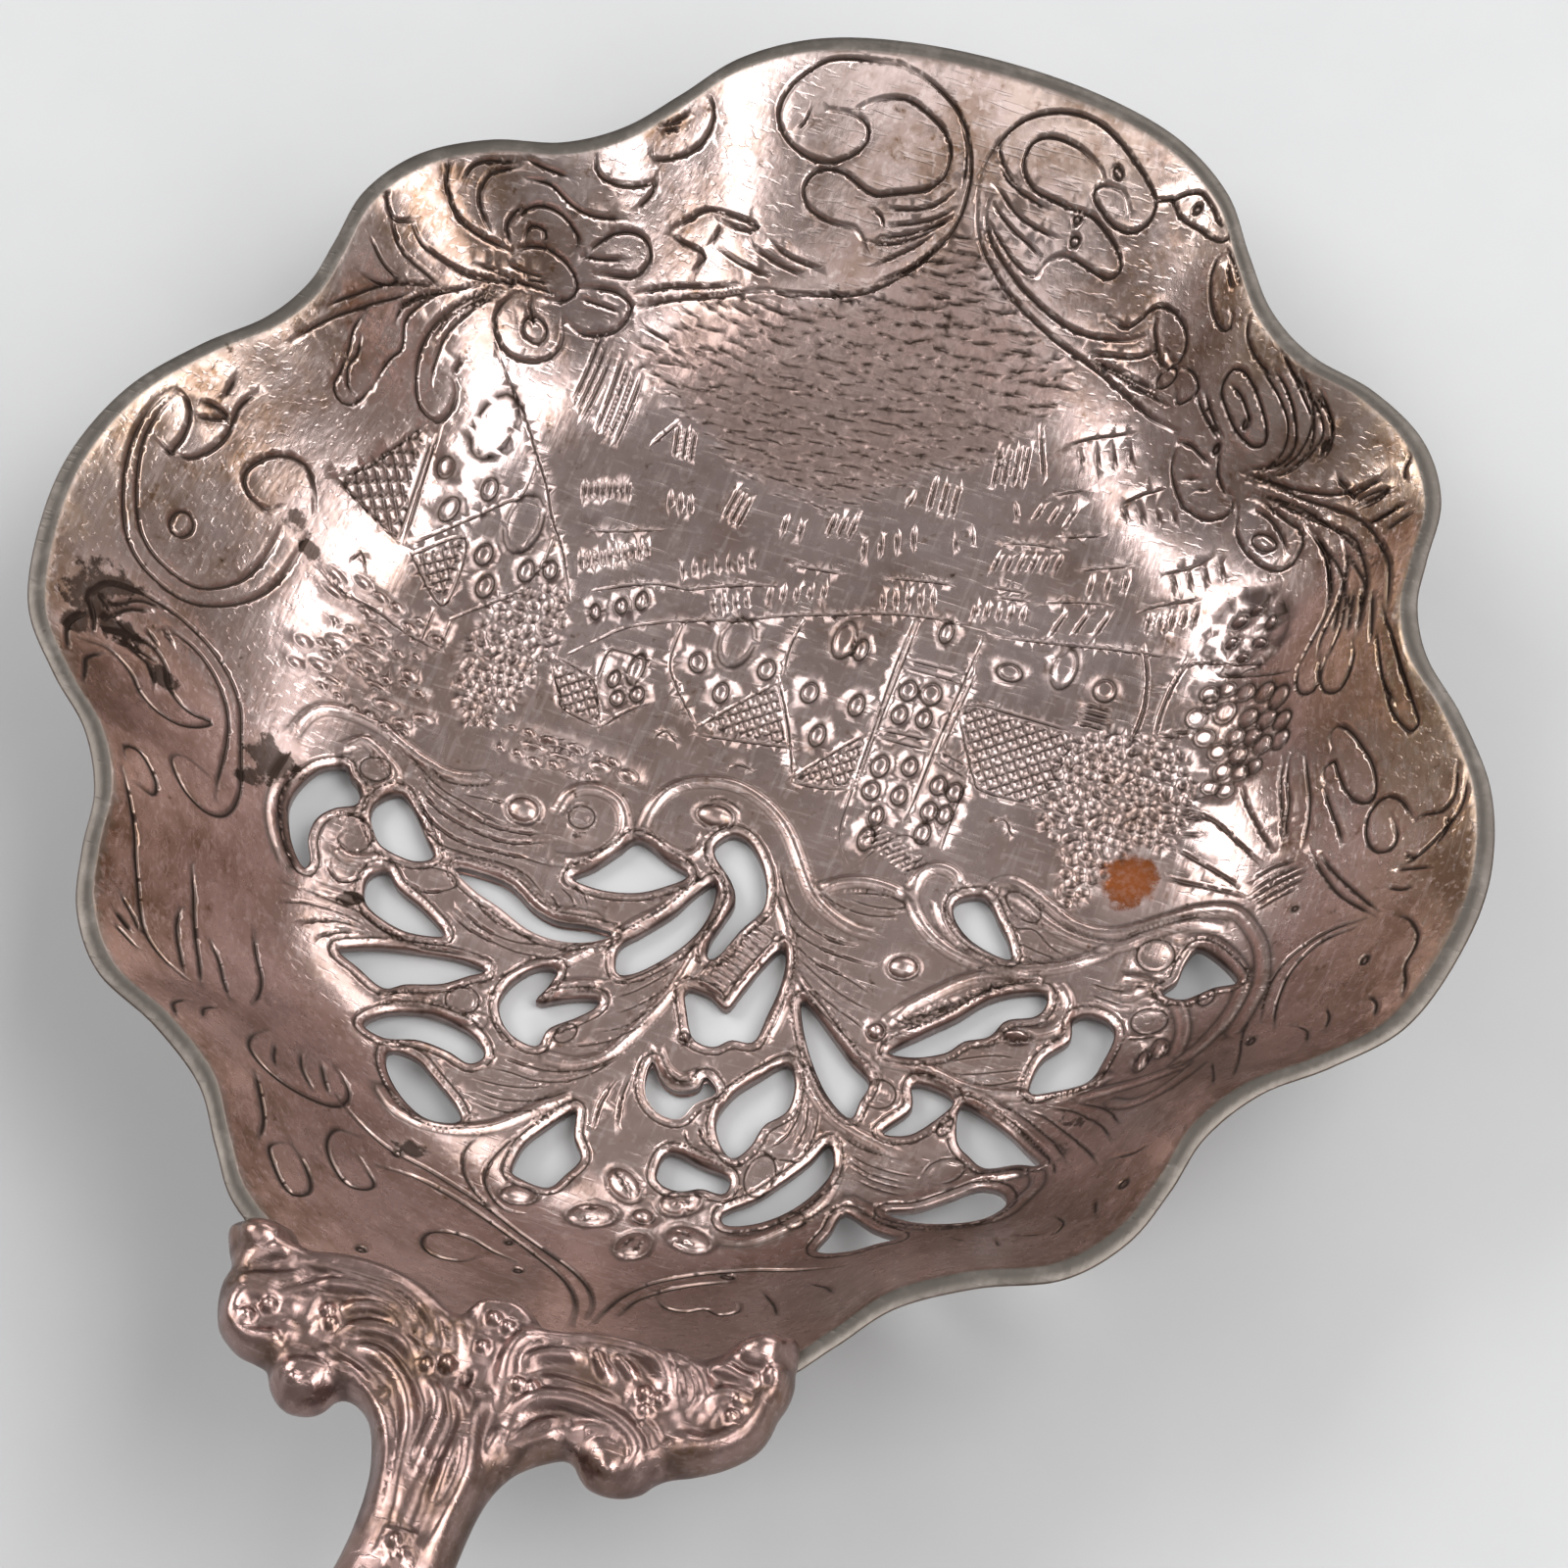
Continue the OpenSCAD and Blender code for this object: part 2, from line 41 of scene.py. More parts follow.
# Shapes are worked out in millimetres with the rim in the plane z = 0, then set down on the table
bowlShape = {
    "depth": 13.6, "slope": 0.08, "sheet": 1.0, "rimWidth": 1.05, "floorHalfWidth": 24.0,
    "floorHalfLength": 25.5, "middle": (0.0, 7.0), "tip": 50.0, "reach": 137.0, "soft": 0.28,
}
rimHalf = [
    (0, 50), (6, 49.5), (11, 48), (14.8, 45.2), (17.2, 41.5), (19.5, 38.2), (22.5, 36), (26.5, 34.8), (30, 32.5),
    (32, 29), (32.3, 25), (32.6, 22), (34, 19), (36.8, 16), (39.5, 12), (40.8, 7), (40.5, 2), (39, -3), (36, -6.5),
    (33, -9.2), (31, -12.5), (30.2, -16), (29, -19.5), (26.5, -22.5), (22.5, -24.4), (19, -26.8), (16.8, -29.8),
    (14.5, -32.6), (10, -35), (5, -36),
]
tilt = math.atan(bowlShape["slope"])
lift = (bowlShape["depth"] + bowlShape["sheet"]) * math.cos(tilt)
tableUnderEnd = -(bowlShape["depth"] + bowlShape["sheet"]) - bowlShape["slope"] * bowlShape["reach"]
forward = ((bowlShape["reach"] - bowlShape["tip"]) * math.cos(tilt) - tableUnderEnd * math.sin(tilt)) / 2


def setDown(p):
    # turned by the tilt about X, moved to the table, millimetres to metres
    x, y, z = p[..., 0], p[..., 1], p[..., 2]
    c, s = math.cos(tilt), math.sin(tilt)
    return np.stack([x, y * c + z * s + forward, z * c - y * s + lift], -1) * 0.001


def between(a, b, c, d, f):
    # Catmull-Rom curve from b to c, with a and d as its outer neighbours, at the share f
    return 0.5 * (2 * b + (c - a) * f + (2 * a - 5 * b + 4 * c - d) * f ** 2 + (3 * b - a - 3 * c + d) * f ** 3)


def smoothLoop(points, parts):
    # curve through a closed row of points, each stretch cut into the same number of parts
    p = np.array(points, float)
    n = len(p)
    u = np.arange(n * parts) / parts
    i = u.astype(int)
    return between(p[(i - 1) % n], p[i % n], p[(i + 1) % n], p[(i + 2) % n], (u - i)[:, None])


def smoothLine(points, step):
    # curve through an open row of points, resampled at an even step
    p = np.array(points, float)
    if len(p) > 2:
        n = len(p) - 1
        u = np.linspace(0, n, n * 12 + 1)
        i = np.minimum(u.astype(int), n - 1)
        p = between(p[np.maximum(i - 1, 0)], p[i], p[i + 1], p[np.minimum(i + 2, n)], (u - i)[:, None])
    along = np.concatenate([[0], np.cumsum(np.hypot(*np.diff(p, axis=0)[:, :2].T))])
    at = np.linspace(0, along[-1], max(2, int(round(along[-1] / step)) + 1))
    return np.stack([np.interp(at, along, p[:, k]) for k in range(p.shape[1])], -1)


def sideways(line, closed=False):
    # unit vectors across a line at each of its points
    d = np.roll(line, -1, 0) - np.roll(line, 1, 0) if closed else np.gradient(line, axis=0)
    return np.stack([-d[:, 1], d[:, 0]], -1) / np.maximum(np.hypot(*d.T), 1e-9)[:, None]


rimPoints = rimHalf + [(0, -36)] + [(-x, y) for x, y in rimHalf[:0:-1]]
rimFine = smoothLoop(rimPoints, 24)
rimMiddle = np.array(bowlShape["middle"])
rimAngle = np.arctan2(rimFine[:, 1] - rimMiddle[1], rimFine[:, 0] - rimMiddle[0])
rimOrder = np.argsort(rimAngle)
rimAngle, rimRadius = rimAngle[rimOrder], np.hypot(*(rimFine - rimMiddle).T)[rimOrder]


def rimReach(angle):
    return np.interp(angle, rimAngle, rimRadius, period=2 * math.pi)


def sheetHeight(x, y, inset, depth):
    # flat floor inside an oval; outside it the height climbs to the rim as 1.9 t^2 - 0.9 t^3 along each ray, where t is
    # softened to (t + sqrt(t^2 + k^2)) / 2 so that the floor turns into the wall without a crease
    dx, dy = x - rimMiddle[0], y - rimMiddle[1]
    angle, r = np.arctan2(dy, dx), np.hypot(dx, dy)
    far = rimReach(angle) - inset
    near = 1 / np.sqrt((np.cos(angle) / bowlShape["floorHalfWidth"]) ** 2
                       + (np.sin(angle) / bowlShape["floorHalfLength"]) ** 2)
    t, k = (r - near) / (far - near), bowlShape["soft"]
    t = np.minimum((t + np.sqrt(t ** 2 + k ** 2)) / (1 + math.sqrt(1 + k ** 2)), 1)
    return -(depth - bowlShape["slope"] * y) * (1 - 1.9 * t ** 2 + 0.9 * t ** 3)


openings = [
    [(-22.7, 0), (-23.8, -0.6), (-24.4, -2), (-24.5, -3.6), (-24, -5), (-23.2, -6.3), (-22.3, -7.1), (-22.2, -6.4),
    (-22.8, -5.2), (-22.9, -3.8), (-22.3, -2.7), (-21.2, -1.9), (-21.5, -1), (-22.2, -0.5)], [(-19.2, -0.4),
    (-20.2, -1.2), (-20.3, -2.2), (-19.6, -3.3), (-18.8, -3.9), (-17, -4.1), (-16, -3.5), (-16.8, -2.5), (-18, -1.2)],
    [(-18.2, -5.1), (-19, -5.8), (-18.8, -7), (-18, -7.8), (-16, -8.3), (-14, -8), (-13.8, -7.6), (-15.5, -6.6),
    (-17.2, -5.9)], [(-14.6, -3.8), (-13, -3.6), (-11.2, -3.8), (-9.5, -4.7), (-8, -5), (-6.2, -4.7), (-4.8, -4.7),
    (-5.5, -5.4), (-7.2, -6), (-9.2, -6), (-11.4, -5.2), (-13, -4.7)], [(-5.4, 1.2), (-6.2, 0.2), (-7.2, -1.2),
    (-8.2, -2.2), (-6.5, -2.4), (-4.6, -2), (-3.2, -1.2), (-2, 0), (-3.4, 0.5)], [(-0.5, 0.1), (-1.3, -1), (-2, -2.4),
    (-3.2, -4), (-4.2, -5.3), (-3.8, -6.8), (-2.9, -6.6), (-1.8, -5.5), (-0.8, -4.1), (-0.2, -2.6), (-0.1, -1)],
    [(-0.5, 3.2), (-1.2, 2.3), (-0.9, 1.5), (0.3, 0.5), (1, -0.6), (0.8, -2), (0.5, -3.4), (0.7, -4.4), (1.3, -4),
    (1.9, -2.2), (2.6, -0.8), (2.5, 0.4), (1.8, 1.8), (0.6, 3)], [(-10.7, -9), (-12.5, -8.8), (-15, -9.2),
    (-17.2, -9.8), (-18.8, -10.8), (-17.4, -11.4), (-15.7, -12), (-14.6, -11.3), (-12.8, -10.6), (-11.6, -9.7)],
    [(-7, -7.7), (-8.2, -8), (-9.2, -9.4), (-9.3, -10.8), (-8.2, -12.1), (-6.5, -12.4), (-6.2, -11.2), (-5, -10.1),
    (-4.2, -9.2), (-4.2, -8.6), (-5.6, -9), (-7.4, -9.9), (-7.1, -8.8)], [(-12.6, -12.5), (-14.4, -13), (-15.4, -13.8),
    (-15.7, -14.8), (-14.4, -15), (-12.8, -14.3), (-11, -14.3), (-9.6, -14.6), (-9, -13.8), (-10.2, -12.8)],
    [(-12.4, -15.4), (-13.9, -15.6), (-13.4, -17), (-12, -18.3), (-10.4, -18.9), (-8.8, -18.3), (-9.2, -17.4),
    (-11, -16.2)], [(-3.2, -15.2), (-4.2, -16.6), (-5, -18.2), (-5, -20), (-4.4, -20.4), (-2.8, -20.4), (-2.2, -19.2),
    (-1.8, -17.9), (-2.6, -16.8), (-2.9, -15.8)], [(4.4, -2.5), (3.7, -4), (3.2, -5.6), (2.7, -6.9), (1.5, -6.4),
    (0.2, -6.5), (0.8, -8), (1.6, -9.2), (2.8, -9.3), (3.6, -8.6), (4.8, -8.3), (5, -6.6), (5.1, -4.8), (4.9, -3.2)],
    [(-0.1, -11.2), (0.8, -12.1), (1.8, -12.4), (2.8, -11.9), (3, -11.1), (3.9, -11.8), (3, -12.8), (2.5, -13.9),
    (1.4, -14), (0.4, -13.4), (-0.1, -12.4)], [(7, -8.9), (5.8, -10.2), (4.8, -11.6), (4.4, -13.2), (5, -14.5),
    (6, -15.2), (6.7, -14.2), (7, -12.8), (7.9, -11.6), (7.8, -10)], [(2.6, -15.9), (2.4, -17.4), (3, -18), (4, -18),
    (5, -17.5), (6.3, -17.4), (6.2, -16.3), (4.6, -16.1)], [(10.7, -12.6), (10.1, -14), (9, -15.8), (8, -17.2),
    (6.7, -18.5), (7.1, -19.3), (8.6, -18.7), (10, -17.4), (11, -15.7), (11.4, -14)], [(13, -16.6), (12.7, -18.2),
    (12.5, -20), (14.4, -20.1), (15.6, -19.4), (16.7, -18.6), (15, -17.7)], [(6.5, -5.1), (7.2, -6.8), (8.4, -8.6),
    (9.8, -10.1), (11.3, -10.9), (11.5, -9.8), (11.6, -8.5), (10.2, -7.6), (8.6, -6.4), (7.4, -5.5)], [(13.9, -7.9),
    (14.3, -9.3), (13.2, -11.1), (14.6, -10.9), (15.6, -9.8), (16.4, -8.2), (15.2, -7.7)], [(19.1, -0.4), (17.6, -0.9),
    (16.2, -1.9), (15, -3.4), (13.4, -5), (12, -6.5), (13.4, -6.4), (15, -5.6), (15.8, -4.6), (17, -3.9), (17.6, -2.7),
    (19, -2), (19.4, -1.2)], [(21.8, -1), (21.1, -1.6), (21.3, -2.8), (20.2, -4.4), (20.2, -6.5), (21.6, -6.1),
    (23.1, -5.3), (23.5, -3.8), (23.6, -2), (23, -1.2)], [(16.8, -8.3), (17.3, -10.4), (18.3, -11.3), (19.4, -11.9),
    (21, -11.5), (22.3, -11.6), (21, -10.2), (19.6, -9.1), (18, -8.4)], [(19.4, -13.4), (18, -14.5), (16.6, -15.6),
    (15, -16.1), (16.4, -16.8), (18.4, -17), (20.2, -16.5), (21.3, -15.3), (21.3, -14.3), (20.6, -13.5)], [(13.8, 4),
    (12.7, 3.3), (13, 2.2), (14.4, 1.2), (16.6, 0.8), (16.3, 1.8), (15.4, 2.8), (14.6, 3.7)], [(26.4, 4.2), (26, 3.2),
    (25.9, 2), (25.3, 1.1), (26.6, 0.8), (28, 1.6), (29.2, 1.9), (28.6, 2.8), (27.4, 3.8)],
]

# Chasing on the bowl, in millimetres in the plane of the rim: each line is x, y, x, y and so on
strokes = []  # half width, height (a groove is minus), points
chasing = {
    "lineStep": 0.28, "tickStep": 0.25, "grooveShare": 0.84, "lipAt": 1.25, "lipShare": 0.35, "crossTurns": (38, 128),
    "crossGap": 0.62, "crossHalf": 0.17, "crossDepth": 0.15, "pitGap": 0.62, "pitRadius": 0.25, "pitDepth": 0.14,
    "wedgeGap": 0.82, "wedgeFade": 1.2, "besideOpening": 0.5, "ovalCut": 0.13,
}


def cut(width, rise, *lines):
    width *= chasing["grooveShare"] if rise < 0 else 1
    for line in lines:
        strokes.append((width, rise, smoothLine(np.array(line, float).reshape(-1, 2), chasing["lineStep"])))


def ticks(width, rise, *rows):
    # n short strokes of one length and angle, set evenly between two points
    for ax, ay, bx, by, n, length, angle in rows:
        a = math.radians(angle)
        d = np.array([math.cos(a), math.sin(a)]) * length / 2
        for f in np.linspace(0, 1, n):
            c = np.array([ax + (bx - ax) * f, ay + (by - ay) * f])
            strokes.append((width, rise, np.linspace(c - d, c + d, max(3, int(length / chasing["tickStep"])))))


def turnedAbout(x, y, px, py, turn):
    # px, py turned by so many degrees and moved to x, y
    a = math.radians(turn)
    return np.stack([x + px * math.cos(a) - py * math.sin(a), y + px * math.sin(a) + py * math.cos(a)], -1)


def ring(width, rise, *ovals):
    # x, y, the two radii and the turn in degrees
    for x, y, rx, ry, turn in ovals:
        u = np.linspace(0, 2 * math.pi, max(10, int((rx + ry) * 12)) + 1)
        strokes.append((width, rise, turnedAbout(x, y, rx * np.cos(u), ry * np.sin(u), turn)))


# two large scrolls that meet at the tip, with their feathering
cut(0.17, -0.2,
    [-6, 48, -7.5, 47.7, -9, 47.3, -10.2, 46.7, -11, 45.8, -11.6, 44.9, -11.9, 43.9, -11.8, 43.2, -11.2, 42.6,
    -10.2, 42.3, -9, 42.3, -7.9, 42.7, -7, 43.4, -6.6, 44.1, -6.8, 44.7, -7.5, 44.95, -8.3, 44.9, -9.2, 44.7],
    [-6, 48, -4.5, 47.8, -3, 47.3, -1.8, 46.6, -0.9, 45.6, -0.3, 44.4, -0.1, 43.2, -0.2, 42, -0.6, 41, -1.3, 40,
    -2.4, 38.9, -3.6, 37.9, -5, 37.1, -7.5, 36.3, -10, 35.6], [-7.6, 45.3, -7, 45.8, -6, 46.3, -4.8, 46.5, -3.6, 46.2,
    -2.5, 45.7, -1.8, 45, -1.6, 44.2, -1.8, 43.5, -2.5, 42.9, -3.5, 42.5, -4.4, 42.2, -5.2, 41.9, -6, 41.95, -6.6,
    42.1, -7.4, 42.3, -8.3, 42.2, -9, 41.8, -9.4, 41.1, -9.3, 40.5, -8.8, 40.1, -7.8, 39.95, -6.8, 40, -6, 40.1, -5.4,
    39.8, -5.1, 39.4], [0.5, 43, 0.4, 44.2, 0.6, 45.2, 1, 46, 1.6, 46.8, 2.4, 47.4, 3.4, 47.8, 4.6, 48, 5.8, 47.9,
    7, 47.5, 8.2, 46.8, 9.3, 46, 10.2, 45.2, 10.8, 44.5, 10.9, 43.8, 10.6, 43.2, 10, 42.9, 9.2, 43, 8.5, 43.3, 7.8,
    43.8, 7.3, 44.2, 7.1, 44.6, 7.5, 44.9, 8.3, 44.9, 9, 44.6, 9.5, 43.9], [7.5, 45.2, 7.2, 45.6, 6.6, 46, 5.8, 46.4,
    5, 46.6, 4.2, 46.7, 3.4, 46.6, 2.8, 46.2, 2.6, 45.6, 2.7, 45, 3.1, 44.5, 3.8, 44.1, 4.8, 43.9, 5.8, 43.7, 6.6,
    43.6, 7.4, 43.45, 8.2, 43, 9, 42.4, 9.6, 41.8, 9.9, 41.2, 9.7, 40.8, 9.2, 40.7, 8.3, 41, 7.4, 41.3, 6.6, 41.5,
    5.9, 41.3, 5.4, 40.9, 5.2, 40.4, 4.8, 40.3], [1.2, 43.2, 1.3, 42.4, 1.8, 41.6, 2.6, 40.9, 3.6, 40.2, 4.6, 39.6,
    5.8, 39, 7, 38.5, 8.2, 38.1, 9.4, 37.9, 10.8, 37.8, 11.8, 37.8, 12.5, 38],
    [0.6, 43, 0.9, 42, 1.5, 41.1, 2.4, 40.3, 3.6, 39.4, 5, 38.6, 6.4, 37.9, 7.8, 37.3, 9, 36.8, 10.4, 36.2,
    11.8, 35.4, 13, 34.6, 14.2, 33.8, 15.4, 33.2, 16.2, 32.8])
cut(0.13, -0.15,
    [-4.4, 41.5, -3, 41.8, -1.8, 42.3, -0.9, 43.1], [-4, 40.8, -2.8, 41.2, -1.6, 41.7, -0.6, 42.4],
    [-4.4, 40.1, -3, 40.6, -1.8, 41.2, -0.6, 42], [-5, 39.7, -3.6, 40, -2.4, 40.6, -1.4, 41.3, -0.6, 42],
    [-4.2, 38.8, -3.4, 39.4, -2.4, 40.1, -1.5, 40.9], [-3.8, 38.1, -2.6, 38.9, -1.6, 39.8, -0.9, 40.8],
    [-1.5, 46.1, -0.9, 45.3, -0.6, 44.3, -0.5, 43.4], [-10.2, 44.4, -10.3, 43.7, -10.6, 43.2],
    [-5.2, 41.2, -4.6, 41, -4.4, 40.6], [1.3, 44.9, 1.8, 44.4, 2.6, 44, 3.6, 43.7, 4.8, 43.4],
    [1.4, 43.9, 2.2, 43.4, 3, 42.9, 4.2, 42.5, 5.7, 42.2], [1.5, 43.1, 2.4, 42.5, 3.4, 42, 4.4, 41.6, 5.1, 41.2],
    [1.6, 42.2, 2.4, 41.6, 3.4, 40.9, 4.4, 40.4, 5, 40.3], [0.9, 45.8, 1.4, 45, 2, 44.5, 2.8, 44.1])
# buds and leaves beside the tip scrolls
cut(0.15, -0.17,
    [-16.1, 42.1, -15.5, 42, -15.1, 41.4, -15.1, 40.5, -15.4, 39.6, -16, 38.7, -16.8, 37.9, -17.5, 37.4, -17.7, 37.8],
    [-16.2, 42, -16.9, 40.8, -17.5, 39.6], [-16.3, 40.6, -17, 39.6, -17.8, 38.9], [-16.6, 39.6, -17.3, 38.9],
    [-20.4, 35.9, -20, 35.2, -19, 35.3, -18, 35.8, -17.2, 36.5, -17, 37], [-17.6, 35.1, -17.1, 36, -17, 36.8],
    [-24, 34.3, -22.8, 34.3, -21.6, 34.4], [-23.8, 33.6, -22.5, 33.8, -21.2, 33.5, -20.2, 33.5, -19.2, 33.8,
    -18, 34.4], [-15.7, 35.3, -15, 36.3, -14.2, 37.3, -13.3, 37.8, -12.2, 38.1, -11.3, 38.2, -11.7, 37.8, -12.8, 37.5,
    -13.6, 37.4], [-15.7, 35.2, -14.8, 35.3, -14, 35.5, -13.6, 35.4, -13.8, 35, -14, 34.4], [-13.5, 36.2, -13.2, 37.1],
    [-10.3, 37.8, -9, 37.6, -7.3, 37.7], [-11.3, 37.2, -10.2, 37.1, -8.2, 37.1], [-13, 36.2, -11.6, 36.2, -10, 36.3],
    [-16.6, 32, -14.8, 33.3, -13.2, 34.2, -11.6, 35.2], [-16.4, 31.4, -14.5, 32.9, -12.5, 34.1, -10.5, 35.4],
    [9.8, 38.9, 10.6, 38.6, 11.3, 38.4, 11.9, 38.7, 12.4, 39.2, 13, 39.3, 13.8, 38.9, 14.5, 38.2, 15, 37.4,
    15.1, 36.6, 14.9, 36.2, 14.5, 36.4, 14.1, 36.9], [12.8, 38.9, 12.9, 38.2, 13.3, 37.4, 13.6, 36.7, 14, 36.3,
    14.4, 36], [9.6, 37.1, 11, 37, 12.4, 36.9, 13.4, 37.1], [9.8, 36.8, 11.4, 36.3, 12.8, 35.7, 14, 35.1],
    [10, 36.7, 11.6, 36, 13, 35.3, 14.2, 34.7, 15, 34.2], [15.2, 35.9, 15.8, 35.7, 16.3, 35.2, 16.6, 34.6, 16.2, 34.3,
    15.6, 34.2, 15.3, 34.8], [11.8, 44.5, 12.3, 43.9, 12.9, 43.4, 13.8, 43, 14.6, 42.5, 15.3, 42.1, 15.9, 42.2,
    15.6, 42.7, 14.9, 43.2, 14.3, 44, 13.4, 44.8, 12.6, 44.8, 11.8, 44.5], [10.9, 44.5, 11.4, 44.5, 11.9, 44.6],
    [15.9, 41.5, 15.5, 41.2, 15.4, 40.4, 15.6, 39.5, 16, 38.6, 16.5, 37.8, 17.1, 37.2, 17.5, 37.2, 17.3, 38],
    [15.9, 41.5, 16.4, 40.9, 16.9, 40.1, 17.3, 39.4], [16.2, 40.6, 16.6, 39.8, 16.9, 39.3],
    [18.4, 37.6, 18.5, 36.9, 18.8, 36.3, 19.3, 35.7, 20, 35.1, 20.8, 34.6])
ring(0.12, -0.13, (14.5, 35.6, 0.55, 0.45, 20), (-21.6, 28.1, 0.7, 0.55, 20), (22.8, 27.8, 0.8, 0.35, -20))
# left flower and its acanthus
cut(0.17, -0.2,
    [-24, 31.7, -23.5, 32.5, -22.8, 32.9, -21.8, 33, -20.9, 32.8, -20.3, 32.4, -20.6, 31.8],
    [-23.2, 31.3, -23.1, 32, -22.2, 32.1, -22.2, 31.6], [-23.8, 30.6, -23, 31.2, -22, 31.5, -20.8, 31.4, -20, 31,
    -19.9, 30.5, -20.4, 30, -21.4, 29.6], [-20, 31.8, -19.2, 32.8, -18.4, 33.6, -17.5, 34.1, -16.8, 34.2, -16.4, 33.8,
    -16.5, 33.2, -17, 32.5, -17.8, 32.1, -19, 31.6], [-19.6, 30.8, -18.6, 31.2, -17.6, 31.5, -16.8, 31.4, -16.8, 30.8,
    -17.2, 30.1, -18, 29.5, -19, 29.1, -20, 29.2], [-22.9, 29.2, -23.6, 28.4, -23.8, 27.5, -23.3, 26.7, -22.4, 26.4,
    -21.3, 26.7, -20.5, 27.3, -20, 28.2, -20.2, 29], [-22.2, 29.2, -22, 28.6, -21.6, 28.4],
    [-27.4, 33.4, -28.1, 32.8, -28.1, 31.8, -27.6, 31, -26.8, 30.5, -25.8, 30.4, -24.8, 30.5, -23.8, 30.6],
    [-27.2, 32, -27, 32.8, -26.4, 33.4, -25.4, 33.8, -24.4, 34.1], [-25.2, 30.9, -26, 31.5, -26.2, 32.2, -25.9, 33,
    -25.2, 33.5, -24.4, 33.9], [-24, 30.9, -24.4, 31.4, -24.2, 32, -23.8, 32.5],
    [-30.9, 29.9, -30.6, 29, -30.1, 28.4, -29.6, 28.6, -29.1, 29.1], [-30.1, 28.3, -29.6, 27.6, -29, 27.2, -28, 27.2,
    -26.8, 27.2], [-29, 28.8, -28.4, 28.3, -27.6, 28.3, -26.4, 28.4, -25.2, 28.7, -24, 29.2, -22.6, 29.6],
    [-30.6, 26.5, -30, 26, -29.3, 25.8, -28.7, 26], [-30.4, 24.3, -29.6, 24.7, -28.8, 25.6, -28, 26.4, -27, 27.1],
    [-23.4, 29.3, -24.6, 28.4, -25.6, 27.2, -26.3, 26, -26.7, 24.8, -26.8, 23.4, -26.6, 22.2, -26.2, 21.2,
    -25.6, 20.8, -24.9, 21, -24.6, 21.6, -24.5, 22.4, -24.6, 23.2, -25, 23.6, -25.5, 23.3],
    [-24.8, 24.8, -24.9, 24.2, -25, 23.8])
cut(0.13, -0.15,
    [-20, 31.9, -18.8, 32.3, -17.8, 32.8], [-19.4, 30.4, -18.4, 30.6, -17.4, 30.8],
    [-23.8, 30, -22.6, 30.2, -21.8, 30.4], [-22.8, 29.9, -21.5, 30.3], [-20.6, 30.1, -21.8, 29.9, -23.2, 29.6,
    -24.6, 29.4, -25.6, 29.1], [-23.8, 28.8, -24.8, 27.6, -25.5, 26.4, -25.9, 25.2, -26, 24, -25.9, 22.8, -25.7, 22.2],
    [-24.6, 28.8, -25.8, 27.8, -27, 26.6, -27.6, 25.4, -27.9, 24.2, -27.6, 22.8, -27.9, 21.8, -28.1, 20.6,
    -28.2, 19.6], [-26.4, 27.4, -27.4, 26.2, -28.2, 24.8, -28.3, 23.6], [-28, 26, -28.8, 24.6, -29.6, 23.2, -30.2, 22,
    -30.9, 20.8, -31.6, 19.6, -32.3, 18.4], [-28.6, 26.2, -29.6, 24.4, -30.4, 22.8, -31.2, 21.2],
    [-27, 26.8, -27.8, 25.8, -28.4, 24.6], [-29.6, 22.8, -29.8, 21.4, -29.7, 20.2, -29.8, 19, -29.9, 18.2,
    -29.4, 17.9, -28.8, 18.3, -28.4, 19.2, -28.2, 20], [-29.4, 21.4, -29.3, 20.4, -29.5, 19.6, -29.3, 18.8,
    -28.8, 18.6], [-24.2, 28.4, -25.2, 27.4, -26, 26.2, -26.4, 24.8])
